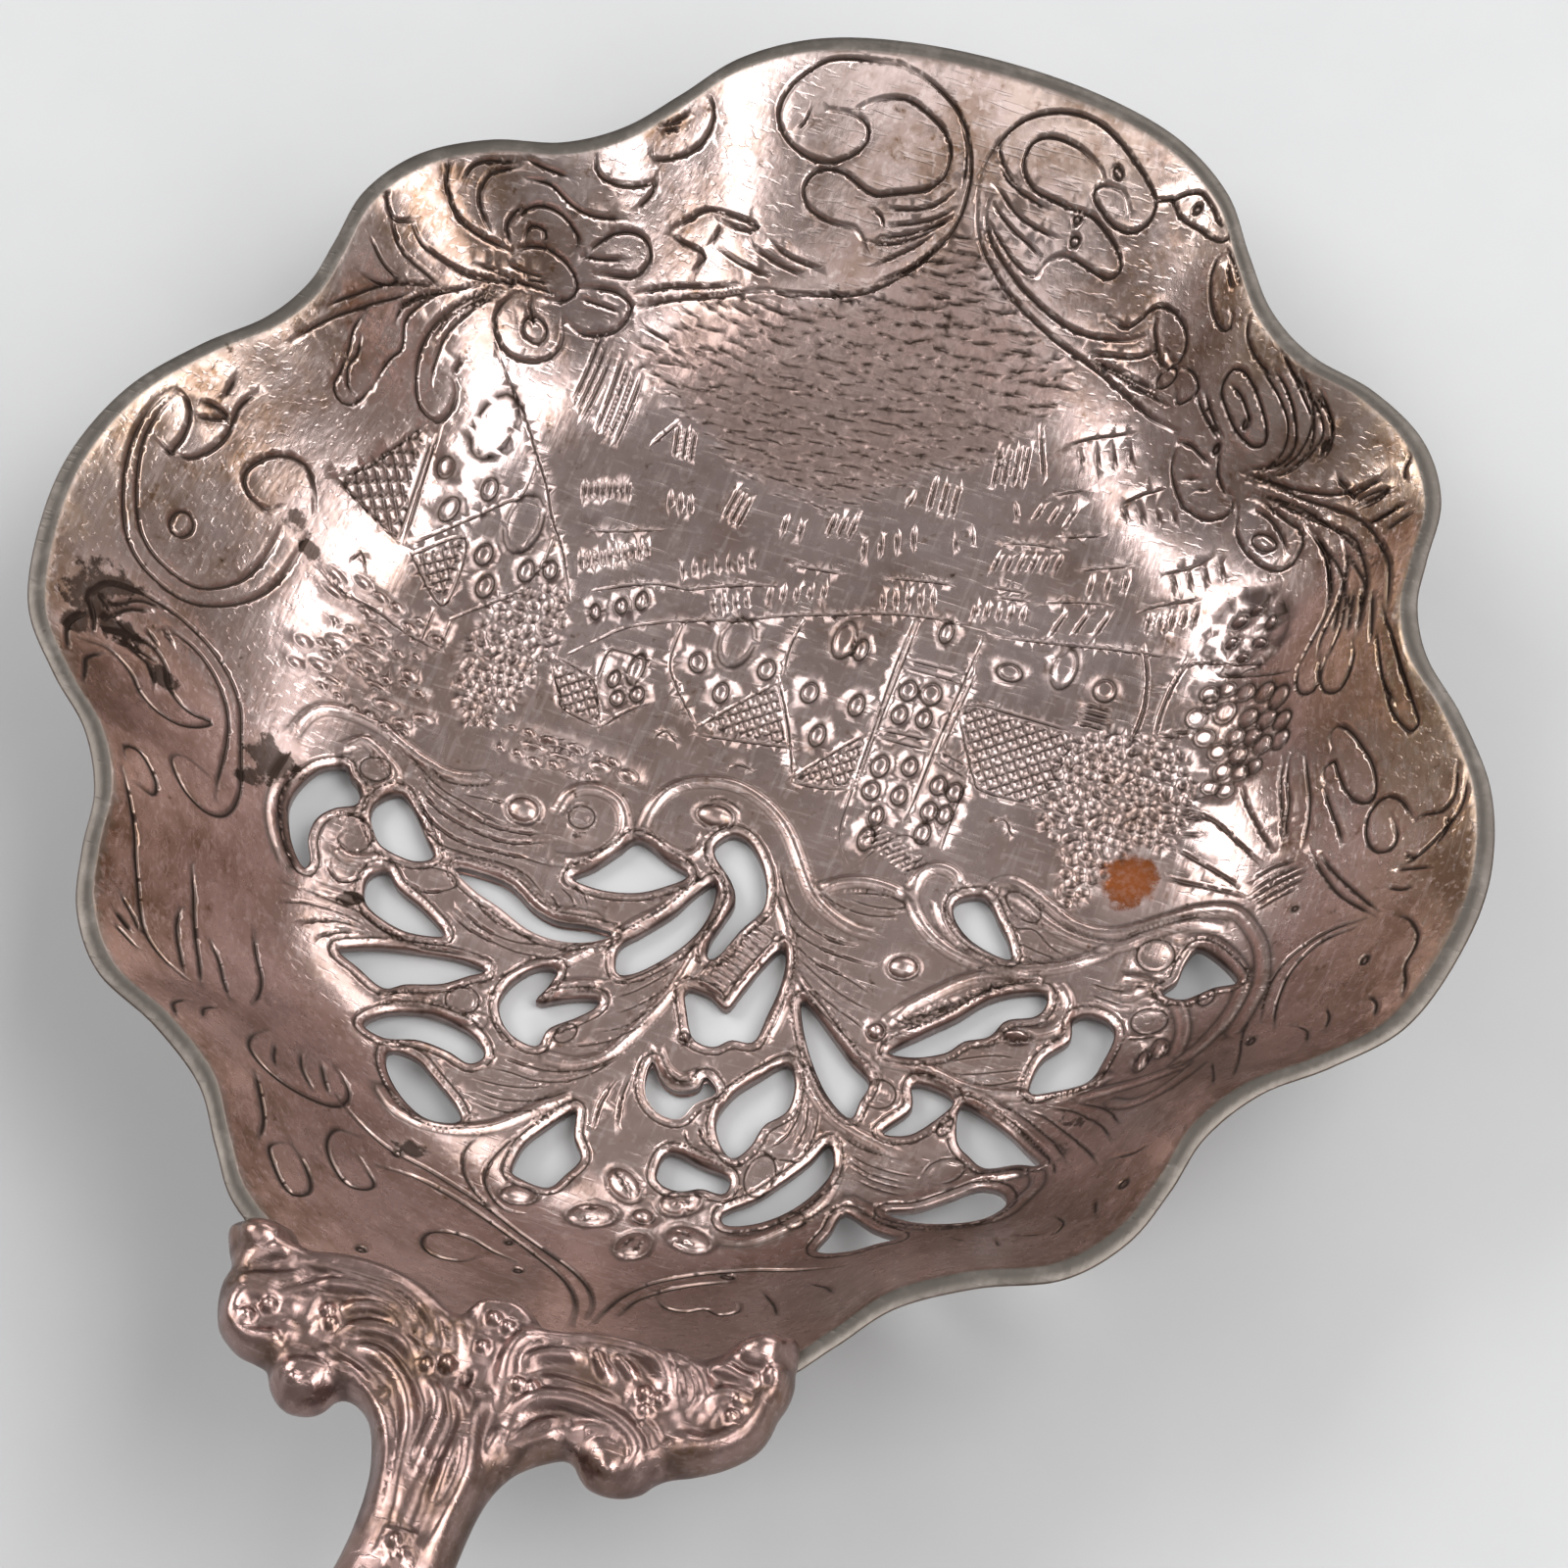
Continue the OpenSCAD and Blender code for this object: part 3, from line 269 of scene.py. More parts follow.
# right flower and its acanthus
cut(0.15, -0.18,
    [18, 34.8, 18.3, 35.2, 19, 35, 19.8, 34.3, 20.5, 33.5, 21.1, 32.7, 21.3, 32.1, 20.8, 31.9, 20, 32.2, 19.2, 32.8,
    18.5, 33.6, 18, 34.3, 18, 34.8], [18.5, 34.5, 19.2, 34, 19.8, 33.3, 20.2, 32.8],
    [20.6, 35, 21.4, 34.4, 22.2, 33.6, 22.8, 32.7, 23, 31.9, 22.5, 31.3, 21.6, 31.1, 20.6, 31],
    [22.2, 34.8, 23, 34.1, 23.6, 33.2, 23.9, 32.3, 23.7, 31.5, 22.9, 31], [23.6, 34.2, 24.4, 33.4, 24.9, 32.6,
    25, 31.8, 24.7, 31.3], [16.3, 32.4, 16.2, 31.6, 16.5, 30.8, 17, 30.1, 17.6, 29.5, 18.4, 29.1, 19.2, 28.9,
    19.9, 29, 20.4, 29.3, 20.3, 29.8, 20, 30.1], [16.3, 32.4, 17, 32.2, 17.8, 31.7, 18.4, 31.3],
    [18.8, 31.8, 19, 31, 19.4, 30.4, 19.9, 30], [16.6, 34.4, 17.2, 33.6, 17.9, 32.9, 18.5, 32.3],
    [17.1, 34.4, 17.7, 33.5, 18.3, 32.8, 18.8, 32.3], [20.6, 29.7, 20.9, 29, 21, 28.4, 21.4, 27.9, 22.2, 27.2,
    23, 26.7, 23.8, 26.4, 24.5, 26.4, 24.9, 26.9, 25, 27.7, 24.6, 28.3, 23.9, 28.7, 23, 29.2, 22, 29.7, 21.2, 29.9],
    [21.8, 29.3, 22.6, 29, 23.4, 28.4, 23.9, 27.8, 24.2, 27.3], [20.4, 30.9, 22, 30.6, 23.6, 30.2, 25.2, 29.9,
    26.4, 29.8, 27.4, 30, 27.9, 30.3], [20.8, 30.6, 22.6, 30.3, 24.4, 29.7, 26, 29.2, 27.4, 28.6, 28.6, 27.7,
    29.5, 26.5, 30.2, 25.2, 30.6, 23.8, 30.9, 22.4, 31.2, 21], [21.4, 30, 23.2, 29.5, 24.8, 28.9, 26.4, 28.2,
    27.8, 27.4, 28.6, 26.2, 29.2, 24.8, 29.6, 23.2, 29.8, 21.6], [24.9, 28.5, 26, 27.4, 26.8, 26.2, 27.3, 24.8,
    27.6, 23.4, 27.5, 22.4, 27.2, 21.2, 27, 20.2], [27.3, 27.3, 27.9, 26, 28.1, 24.4, 28, 22.8, 27.8, 21.6,
    27.9, 20.4], [27.2, 29.3, 28.1, 29.6, 28.9, 29.7, 28.6, 29.2, 27.6, 28.9], [28.6, 28, 29.4, 28.3, 30, 28.8],
    [29.3, 31.9, 29.6, 31.3, 29.5, 30.6, 29.8, 30], [27, 20.2, 27.2, 19.2, 27.6, 18.6, 28.2, 18.4, 28.4, 18.8,
    28.2, 19.6, 28.1, 20.4], [28.4, 20.2, 28.5, 19, 29, 18.2, 29.7, 18, 30, 18.6, 30, 19.5, 29.7, 20.4],
    [30.4, 22.8, 31, 21.4, 31.8, 20, 32.6, 18.6, 33.4, 17.4, 34.1, 16.4, 34.6, 15.6, 34.3, 15.3, 33.6, 15.8,
    32.8, 16.6, 32.2, 17.6, 31.4, 19, 31, 20.2], [25.6, 28, 26.6, 26.8, 27.2, 25.4, 27.7, 24])
ticks(0.13, -0.15, (17.6, 30.7, 18.4, 30.2, 2, 0.7, 0), (28.7, 23.3, 29.4, 23.3, 2, 1.0, -75),
      (29.6, 26.4, 29.6, 26.4, 1, 0.8, -65))
# scrolls on the left wall
cut(0.18, -0.2,
    [-36.9, 13.1, -37.4, 12, -37.7, 10.6, -37.7, 9.2, -37.4, 7.8, -36.9, 6.4, -36.2, 5.2, -35.2, 4.6, -34, 4.5,
    -33, 4.8, -32.2, 5.6, -31.4, 6.8, -30.9, 8.2, -30.6, 9.6, -30.5, 10.8], [-37.1, 13.1, -37.7, 12.2, -38.1, 10.8,
    -38.2, 9.2, -38, 7.6, -37.5, 6, -36.8, 4.6, -35.8, 3.7, -34.5, 3.4, -33.2, 3.6, -32, 4.5, -30.9, 5.8, -30.1, 7.2,
    -29.6, 8.8, -29.4, 10, -29.2, 11.4], [-36.9, 13.1, -36.4, 13, -36.1, 12.4, -36.1, 11.4, -36.3, 10.6, -36.4, 10.2,
    -37, 10.3], [-36.4, 10.2, -35.6, 10.6, -35, 11.3, -34.5, 12.2, -34.2, 13, -34.1, 13.8, -34, 14.4, -33.7, 15,
    -33.3, 15.6], [-35.9, 12.6, -35.2, 13, -34.4, 13.6, -35, 13.7, -35.9, 13.4], [-34.8, 14.3, -34.5, 15.4],
    [-29.3, 12.8, -29.6, 13.6, -30.2, 14.3, -31, 14.2, -31.9, 13.6, -32.5, 12.9, -32.9, 12.1, -32.8, 11.4,
    -32.2, 11.1, -31.4, 11.2, -30.8, 11.8], [-36.8, 0, -36.4, 1.2, -35.2, 2, -33.8, 2.4, -32.4, 2.4, -31, 2,
    -29.8, 1.2, -28.8, 0, -28.2, -1.4, -27.6, -2.8, -27.1, -4, -26.6, -5.2, -26.3, -6.6, -26.4, -7.8, -27, -8.5, -28,
    -8.4, -28.8, -7.8, -29.4, -7, -29.4, -6.2, -28.8, -5.8, -28, -5.9], [-33.6, 0.8, -33, 1.4, -31.8, 1.4, -30.6, 0.8,
    -29.6, -0.2, -28.9, -1.4, -28.4, -2.8, -28, -4.2, -27.6, -5.6, -27.1, -7],
    [-36.4, 0.2, -35.4, -0.4, -34.4, -0.5, -33.4, -0.3, -32.5, -0.9, -32, -1.8, -31.2, -2.4, -30.4, -2.5, -29.5, -2.1,
    -29.9, -3.2, -30.6, -4, -31.6, -4.2, -32.6, -3.8, -33.4, -3, -34.2, -2.6, -35, -2.5, -35.6, -2.9],
    [-36.6, -1.6, -36.8, -3, -36, -4.6], [-34.9, -3, -35.2, -4.2, -34.8, -5.2, -34.4, -6.2],
    [-36.8, -0.4, -36.2, -1.2, -35.8, -2.2], [-34.6, -1, -34, -1.4, -33, -1.6, -32.4, -2.6],
    [-30.7, -9.4, -30.9, -8.8, -30.4, -8.4, -29.6, -8.9, -29, -9.6, -28.8, -10.4, -29.4, -10.6],
    [-30.4, -10.4, -29.4, -11.8, -28.6, -13.2, -28, -14.6, -27.4, -15.8, -26.8, -17, -26, -18.2, -24.8, -19,
    -23.2, -19.4], [-26.2, -12.2, -25.6, -13.4, -25, -14.8, -24.4, -16, -23.6, -17.4, -22.6, -19.2],
    [-25.6, -15, -25.2, -16.4, -24.4, -17.8, -23.6, -19], [-27.6, -17.2, -26.8, -17.8, -26.2, -18.4],
    [-27.4, -18.4, -26.4, -18.9], [-27, -19.2, -25.8, -19.6], [-22.6, -13, -22, -14.2, -21.2, -15.4, -20.7, -16.6,
    -20.4, -18], [-23.8, -15.6, -23, -16.4, -22.2, -17.6, -21.4, -18.6])
ring(0.15, -0.18, (-34.8, 7.3, 0.5, 0.8, -15))
# scrolls on the right wall
cut(0.16, -0.18,
    [30.3, 15.4, 30, 15.9, 30.1, 16.3, 30.6, 16.2, 31.3, 15.7, 32, 15, 32.7, 14.2, 33.2, 13.3, 33.4, 12.5, 33.1, 12.2,
    32.5, 12.4, 31.9, 12.9, 31.4, 13.5, 31, 14.1, 30.6, 14.7, 30.2, 14.4, 30.4, 13.8, 30.8, 13.6],
    [28.1, 15.2, 28.3, 14.2, 28.8, 13, 29, 11.8, 29.4, 10.8], [28.9, 15.3, 29.4, 14.2, 29.9, 13, 30.2, 11.8,
    30.3, 10.5], [30.5, 13.4, 31, 12.6, 31.5, 11.8, 32, 11, 32.4, 10.2], [36, 10.6, 35.4, 11.4, 34.8, 12, 34.1, 12.3,
    33.6, 12, 33.4, 11.3, 33.6, 10.4, 34, 9.7, 34.6, 9.2, 35.2, 9.3, 35.3, 9.9, 35, 10.6, 34.6, 11.2],
    [37.3, 13.2, 37.6, 12.2, 37.6, 11.4, 37.2, 10.9, 36.4, 10.9, 36, 10.6], [38, 12.6, 38.2, 11.4, 38, 10.4,
    37.4, 9.4, 36.8, 8.6, 36.2, 8.2, 35.8, 8.2], [36, 8.8, 36.6, 8.4], [35.9, 7.9, 36.7, 7.8, 37.5, 7.7],
    [35.7, 6.9, 36.4, 6.6, 36.9, 6.7], [37.6, 10.6, 37.8, 9.8, 37.4, 9], [28.4, 7.9, 29.2, 8.6, 30.4, 9.2],
    [28.4, 7.4, 29.4, 8.2, 30.8, 8.9], [28.6, 6.9, 29.6, 7.7, 30.8, 8.4], [28.9, 6.6, 29.8, 7.3, 30.6, 7.8],
    [28.2, 8.6, 29, 9.2, 30, 9.6], [35, 5.1, 33.6, 4.8, 32.4, 4.1, 31.5, 3, 31.1, 1.6, 31.1, 0, 31.3, -1.4],
    [34.6, 4.6, 33.2, 4.1, 32.4, 3.2, 31.9, 2, 31.8, 0.6, 31.9, -0.8, 32.2, -2.2],
    [36.4, 5.1, 37.4, 4.4, 38, 3.4, 38.1, 2.4, 37.9, 1.2, 38.2, 0, 38.3, -1.2],
    [31.4, 9.8, 32.4, 8.6, 33.6, 7.4, 34.8, 6.2, 35.6, 5.4], [30.9, 9.9, 32, 8.4, 33.2, 7, 34.4, 6, 35.4, 5.2],
    [30.7, -0.5, 30.6, -2.4, 30.9, -4.4, 31.1, -6.4, 31.2, -8], [36.6, -0.8, 37.1, -1.4, 37.2, -2.4],
    [34.6, -1.2, 34.9, -2, 34.9, -3], [33.4, -2.4, 34, -3, 34.2, -4.2], [29.6, -5, 30, -6.6, 30.3, -8.2],
    [26.6, -12.6, 27.4, -12.8, 28, -12.6], [26.4, -16, 26.7, -17.2], [24.6, -16.8, 25.2, -17.6, 25, -18.6],
    [22, -19, 22.4, -19.8], [23, -18.4, 24.2, -18.5], [19.6, -18.8, 20.4, -19.2])
ring(0.17, -0.17, (35.7, 2.1, 0.15, 0.3, 0), (27.6, -15.2, 0.2, 0.3, 0), (31.2, -3.2, 0.15, 0.4, 0),
      (6.6, 43.2, 0.2, 0.2, 0), (6.8, 42.2, 0.25, 0.25, 0), (8.2, 45.6, 0.35, 0.2, -40), (19.9, 32.8, 0.12, 0.2, 0),
      (18.6, 31.9, 0.15, 0.2, 0), (24.7, 32, 0.15, 0.2, 0), (13.4, 44, 0.2, 0.2, 0), (31, 6.5, 0.15, 0.15, 0),
      (-10.6, -22.3, 0.15, 0.25, 0), (-2.9, -25.5, 0.15, 0.2, 0), (-1.4, -27.8, 0.2, 0.2, 0),
      (8.6, -23.2, 0.4, 0.15, 0), (-8.4, -31.4, 0.2, 0.2, 0))
# curves on the wall beside the handle
cut(0.2, -0.2,
    [-18.9, -19.6, -19, -20.8, -18.6, -22, -17.6, -22.8, -16.4, -23, -15.2, -22.6, -14.2, -21.8, -14, -20.6,
    -14.6, -19.6, -15.4, -19], [-18, -20.4, -17.6, -21.4, -17.2, -22], [-17, -19.6, -16.4, -20.8, -15.4, -21.8],
    [-16, -19.4, -15.4, -20.4, -14.8, -21.2], [-21.2, -20.4, -21.4, -21.2, -21, -22],
    [-22.3, -21.4, -22.4, -22.4, -21.8, -23.2], [-14.4, -21, -12.8, -21.8, -11, -22.3, -9, -22.4, -7, -22.8,
    -5, -23.4, -3, -24.3, -1, -25.2, 1, -26.2, 2.4, -27.4, 3.2, -28.8, 3.5, -30.2],
    [-10.8, -23.9, -9, -23.4, -7, -23.6, -5, -24.2, -3, -25, -1.2, -25.9, 0.6, -27, 1.8, -28.2, 2.6, -29.6, 3, -31],
    [14.5, -21.8, 12, -21.9, 10, -22.2, 8, -23, 6.4, -24, 5, -25.4, 4.2, -27.2, 4, -29, 4, -30.6],
    [9, -23.6, 7.4, -24.4, 6, -25.6, 5, -27.2, 4.8, -29], [-12.6, -22.7, -13.4, -23.2, -13.5, -24, -13.2, -25,
    -12.4, -26, -11.4, -26.7, -10.6, -26.4, -10.4, -25.6, -11, -24.9, -11.7, -24.3],
    [-14.6, -26.8, -14.9, -27.8, -14.2, -28.8, -13.4, -29.6, -12.7, -29.9, -12.3, -29.2, -12.6, -28.2, -13.4, -27.2,
    -14.2, -26.6], [-17.4, -23.8, -16.6, -25, -15.8, -26.4, -15.4, -27.8], [-1.8, -27, -3.2, -26.8, -4.6, -26.4,
    -5.8, -26.6, -6.6, -27.4, -6.4, -28.6, -5.4, -29.2, -4.2, -28.8, -3.8, -28],
    [5.8, -26.4, 6.6, -27.2, 7.8, -27.2, 8.6, -26.6, 9.6, -27, 10.4, -26.4, 10.2, -25.6],
    [11, -24.2, 12, -25.4, 12.6, -26.6], [13.4, -23.4, 14.4, -24, 15, -24.8])
# village: ground lines, walls and roofs
cut(0.1, -0.12,
    [-13, 11, -11.8, 12.3, -10.8, 13.3, -9, 14.3, -7, 15.1, -4.5, 16, -2, 17.1, 0.5, 18, 3, 18.9, 5, 19.4, 7, 19.7,
    9.2, 19.8], [9.8, 19.6, 12, 20, 14, 20.4, 16, 20.8, 18, 21.1, 20, 21.4],
    [20, 20.9, 21.8, 21.3, 23.6, 21.2, 25, 21], [-13.4, 15, -11.5, 16, -9.6, 16.7, -8, 16.9, -6, 17.8, -3.4, 18.7],
    [-3, 20.2, -1.6, 20.4, 0, 20.6], [-14.9, 18.6, -13, 19.2, -11, 20], [2.6, 21.2, 4, 21.5, 5.4, 21.8, 6.4, 21.9],
    [22.6, 20.6, 24.6, 20.4, 26.6, 20.1], [8.2, 25.4, 10, 25.9, 11.6, 26.1], [13, 25.2, 14.4, 25.7, 15.7, 26.2],
    [16.8, 23.4, 18, 24.2, 20.2, 24.9], [17.6, 26, 19, 26.5, 20, 27], [13.9, 29.4, 15, 30, 16.2, 30.3],
    [11.4, 22.4, 13, 23, 15.1, 23.5], [8.4, 22.5, 10.5, 22.8], [9, 22, 10.7, 22.3], [10, 29.2, 11.8, 30],
    [11.2, 26.8, 12.4, 27.2, 13.6, 27.6], [9.8, 32.2, 11.2, 32.8, 13.4, 33.1], [-28.7, 14.8, -27, 17, -25.4, 20.4],
    [-28.7, 14.8, -26.5, 14.4, -24.7, 13.9], [-24.9, 20.2, -24.9, 13.9], [-24.7, 21, -24.6, 17, -24.5, 13.9],
    [-24.4, 13.9, -22, 16.6, -20.2, 18.6, -19.3, 19.6, -19.2, 21.6], [-23.4, 26.3, -21.6, 24.7, -20.8, 24,
    -19.4, 22.2, -18.2, 20.6, -17.2, 18.8, -16, 17.2, -15, 15.4, -14.4, 14.2],
    [-23.9, 13.6, -21.4, 15.8, -21.1, 11.4, -23.9, 13.6], [-20.4, 10.7, -18.6, 12.4, -16.8, 14.1],
    [-21.5, 10.9, -21.5, 9], [-20.3, 10.5, -20.3, 8.8], [-16.6, 17.4, -16.6, 15.8, -17, 14.6],
    [-28, 10.1, -26.4, 9.7, -24.6, 9.6, -23.2, 9.2, -21.6, 8.8, -20, 8.6], [-13.8, 10.4, -12, 10, -11.2, 9.6,
    -10.5, 8.4, -9.9, 7.1], [-9.9, 7, -9, 8.2, -8, 9.2], [-11.1, 9.8, -11.1, 11.7, -10.4, 11.9, -8.2, 11.9],
    [-13.8, 9.8, -12.8, 8.2, -12.2, 7.4, -9.9, 7], [-7.6, 14.8, -7.5, 12.2, -6.6, 10.8, -5.6, 9.7, -4.7, 8.8],
    [-4.6, 8.8, -3, 10.8, -1.2, 12.9], [-4.6, 8.3, -2, 8.7, 1.3, 9.3], [-1.3, 13.2, 0.2, 10.6, 1, 8.8, 1.6, 7.3],
    [-1.1, 17, -1.3, 15.4, -1.1, 13.6], [1.6, 7.6, 3.6, 10.2, 4.6, 11.4], [1.6, 7.2, 3.4, 7.4, 4.7, 7.8],
    [-6.7, 7.4, -6.3, 8, -5.4, 7.5], [-2, 7, -1.6, 7.3, -0.7, 7.2], [13.2, 8.5, 13.8, 8.8, 14.4, 8],
    [-26.8, 11.6, -26.4, 12.3, -26, 11.7], [4.9, 19, 4.8, 16, 4.9, 12, 5, 8, 5.2, 5, 6.2, 3.4],
    [9, 19.2, 8.8, 16, 8.6, 12, 8.5, 8, 8.2, 6], [5.2, 19, 5.1, 12, 5.2, 8], [9.3, 17, 9, 12], [5.3, 16.6, 8.7, 16.75],
    [5.3, 16.1, 8.6, 16.15], [5.3, 11.9, 8.3, 12.2], [5.3, 11.4, 8.2, 11.55], [9, 11.7, 10.6, 11.3],
    [9, 11.1, 10.8, 10.6], [10.9, 10.6, 10.9, 6], [9.1, 14.6, 10, 15.1, 12.6, 15.2, 15.6, 15.2],
    [9.1, 14.5, 10, 12.8, 11.2, 10.8, 12, 10.1, 15, 10.2], [10.2, 5.4, 9.4, 3.6], [6.9, 3.8, 8.4, 6, 10, 6])
cut(0.16, -0.17,
    [17.9, 21.5, 18.6, 20, 19, 18.4, 19.1, 16.8, 18.9, 15.2], [20.6, 21.3, 20.2, 19.6, 20.1, 17.8, 20.2, 16.4],
    [27.6, 7.7, 25.6, 8, 23.4, 8.1], [27.6, 8.1, 26.4, 8.8, 25, 9.4, 23.4, 10],
    [28, 9.8, 26.6, 10.9, 25, 12, 23.6, 12.4], [28.8, 10.2, 27.6, 11.6, 26.6, 12.9, 25.9, 14],
    [29.2, 10.6, 28.6, 12.4, 28, 14, 27.8, 15.2])
ticks(0.15, -0.16,
      (-16, 21, -13.6, 21.9, 8, 1.0, 105), (-11, 21.9, -9.8, 22, 3, 1.1, 105), (-7.6, 23, -6.7, 22.6, 3, 2.0, 84),
      (-14.6, 16.6, -11.2, 18.6, 10, 0.9, 110), (-8.8, 18, -5.2, 19.8, 7, 0.8, 110),
      (-6.4, 16.4, -4.6, 17.2, 4, 0.7, 115), (-3.5, 18, -0.6, 19.2, 5, 0.9, 98), (0.7, 22.6, 3.2, 24.1, 4, 1.2, 105),
      (2.8, 19.8, 5.5, 20.8, 5, 0.8, 105), (5.6, 24.6, 6.4, 25.2, 2, 0.8, 108), (8.2, 24.1, 11.6, 25.1, 6, 1.1, 85),
      (8, 20.8, 10.7, 21.4, 5, 0.8, 95), (12.8, 21.5, 15.2, 22.2, 3, 1.5, 75), (13.8, 24.3, 15.7, 25.1, 3, 1.0, 95),
      (17.7, 23, 20.2, 23.9, 5, 1.0, 95), (18.4, 25.6, 20.9, 26.4, 4, 0.8, 122), (14.4, 29, 17.3, 28.9, 4, 0.8, 128),
      (10.9, 31.6, 13.7, 31.9, 4, 0.9, 118), (8.3, 27.6, 8.6, 27.4, 1, 0.8, 115), (9.5, 28, 11.4, 28.2, 3, 1.2, 75),
      (-18.2, 27.8, -17.4, 27, 3, 3.6, 82), (-16.6, 27, -15.3, 26.6, 4, 4.2, 88),
      (-12.8, 26.1, -12.8, 26.1, 1, 1.9, 62), (-12, 25.8, -11, 25.8, 3, 2, 102), (-4.2, 22.6, -3.2, 22.6, 2, 1.0, 95),
      (-1.6, 23.4, -0.4, 23.6, 3, 1.4, 88), (3.3, 27.2, 4.7, 27.2, 3, 2, 95), (6.3, 30, 7.9, 30.6, 4, 2.4, 98),
      (8.6, 31.4, 8.6, 31.4, 1, 3, 112), (16.6, 17.1, 16.6, 15.9, 4, 1.5, 2), (21, 16.6, 21.6, 17, 2, 1.2, 15),
      (23.8, 12, 23.9, 11, 2, 1, 10), (2.2, 26.4, 2.2, 26.4, 1, 0.8, 75))
# punched ovals: windows, doors, cobbles and the ring-punched tree
windows = [
    (-22.1, 22.6, 0.95, 2, -12), (-18.6, 17.9, 1.05, 1.9, 3), (-23.8, 19.1, 0.4, 0.65, -10),
    (-21.2, 19.2, 0.45, 0.7, 0), (-22.9, 17.1, 0.45, 0.8, -15), (-20.1, 15.3, 0.5, 0.7, 0),
    (-17.4, 15.1, 0.45, 0.7, 5), (-19.3, 13.4, 0.5, 0.75, 0), (-6, 12.7, 0.5, 0.65, 20), (-4.1, 11.3, 0.45, 0.65, 5),
    (-2.1, 13.5, 0.5, 0.65, 0), (0.7, 12.9, 0.5, 0.65, 0), (3.5, 13, 0.45, 0.7, 0), (2, 10.5, 0.45, 0.7, 0),
    (-4.3, 14.6, 1, 1.6, 0), (1.5, 16.7, 0.65, 1.2, 0), (2.6, 16.4, 0.4, 0.7, 0), (6, 14.8, 0.5, 0.65, 0),
    (7.3, 15, 0.6, 0.7, 0), (6, 13.2, 0.45, 0.6, 0), (7.4, 13.4, 0.45, 0.6, 0), (6, 9.8, 0.5, 0.7, 0),
    (7.6, 10.3, 0.45, 0.6, 0), (6, 8.2, 0.5, 0.6, 0), (7.6, 8.4, 0.45, 0.6, 0), (6.8, 6.8, 0.4, 0.6, 0),
    (6.7, 5.3, 0.45, 0.75, 0), (6.9, 19, 0.4, 0.7, 0), (9.5, 9.7, 0.45, 0.6, 0), (10.5, 9.6, 0.45, 0.6, 0),
    (9.5, 8, 0.45, 0.6, 0), (10.4, 8.1, 0.4, 0.6, 0), (9.6, 6.6, 0.45, 0.65, 0), (-10.2, 10.2, 0.35, 0.55, 0),
    (-9.6, 9.1, 0.4, 0.5, 0), (-8.6, 9.7, 0.4, 0.5, 0), (-9.2, 11.2, 0.45, 1, 0), (11.1, 17.7, 0.75, 0.55, 0),
    (16.6, 18.3, 0.65, 0.7, 0), (14, 18.9, 0.7, 1.3, 0), (-12.7, 13.9, 0.3, 0.5, 20), (-11.4, 14.7, 0.35, 0.5, 15),
    (-10.4, 15.4, 0.35, 0.6, 10), (-16.1, 15.6, 0.4, 0.6, 10)]
cobbles = [
    (-27.2, 10.4, 0.7, 0.3, -10), (-25.7, 10.8, 0.6, 0.3, -10), (-24.6, 10.5, 0.6, 0.25, -15),
    (-23.5, 10.3, 0.5, 0.3, -15), (-27, 9.5, 0.8, 0.25, -8), (-25, 9.3, 0.5, 0.25, -10), (-22.4, 9.4, 0.5, 0.25, -20),
    (-24, 8.7, 0.8, 0.25, -12), (-25.8, 6.9, 0.7, 0.4, 10), (-23.8, 7.1, 1, 0.3, -5), (-21.3, 6.6, 0.5, 0.3, -15),
    (-27.4, 5.9, 0.5, 0.35, 0), (-25.9, 5.9, 0.5, 0.25, -5), (-24.2, 5.8, 0.6, 0.2, -8), (-26.2, 5.1, 0.6, 0.3, 0),
    (-22.8, 5.3, 0.8, 0.2, -10), (-27.3, 4.5, 0.5, 0.3, 0), (-21.9, 4.4, 0.7, 0.3, 0), (-25.2, 4.6, 0.9, 0.2, -5),
    (-19.6, 4.3, 0.6, 0.3, 0), (-12.2, 5.4, 0.6, 0.25, 0), (-10.8, 5.4, 0.6, 0.25, 0), (-9, 4.7, 0.6, 0.35, 0),
    (-7.3, 4.7, 0.55, 0.35, -10), (-13, 4.7, 0.8, 0.22, 0), (-11.2, 4.6, 0.9, 0.22, 0), (-20.6, 3.6, 0.5, 0.3, 0)]
cobbleRows = [(-26.4, 8, -21.4, 7.7, 6), (-22, 10, -20.6, 9.2, 2), (-26.6, 6.4, -20.4, 5.8, 7),
              (-25.6, 4, -20.4, 3, 6), (-14.6, 5.4, -8.4, 5.3, 7), (-14.8, 4, -9.4, 3.8, 6)]
for ax, ay, bx, by, count in cobbleRows:
    for k in range(count):
        share, size = k / (count - 1), 0.36 + 0.07 * math.sin(5 * k + ax)
        cobbles.append((ax + (bx - ax) * share, ay + (by - ay) * share + 0.12 * math.sin(9 * k), size, 0.6 * size, -10))
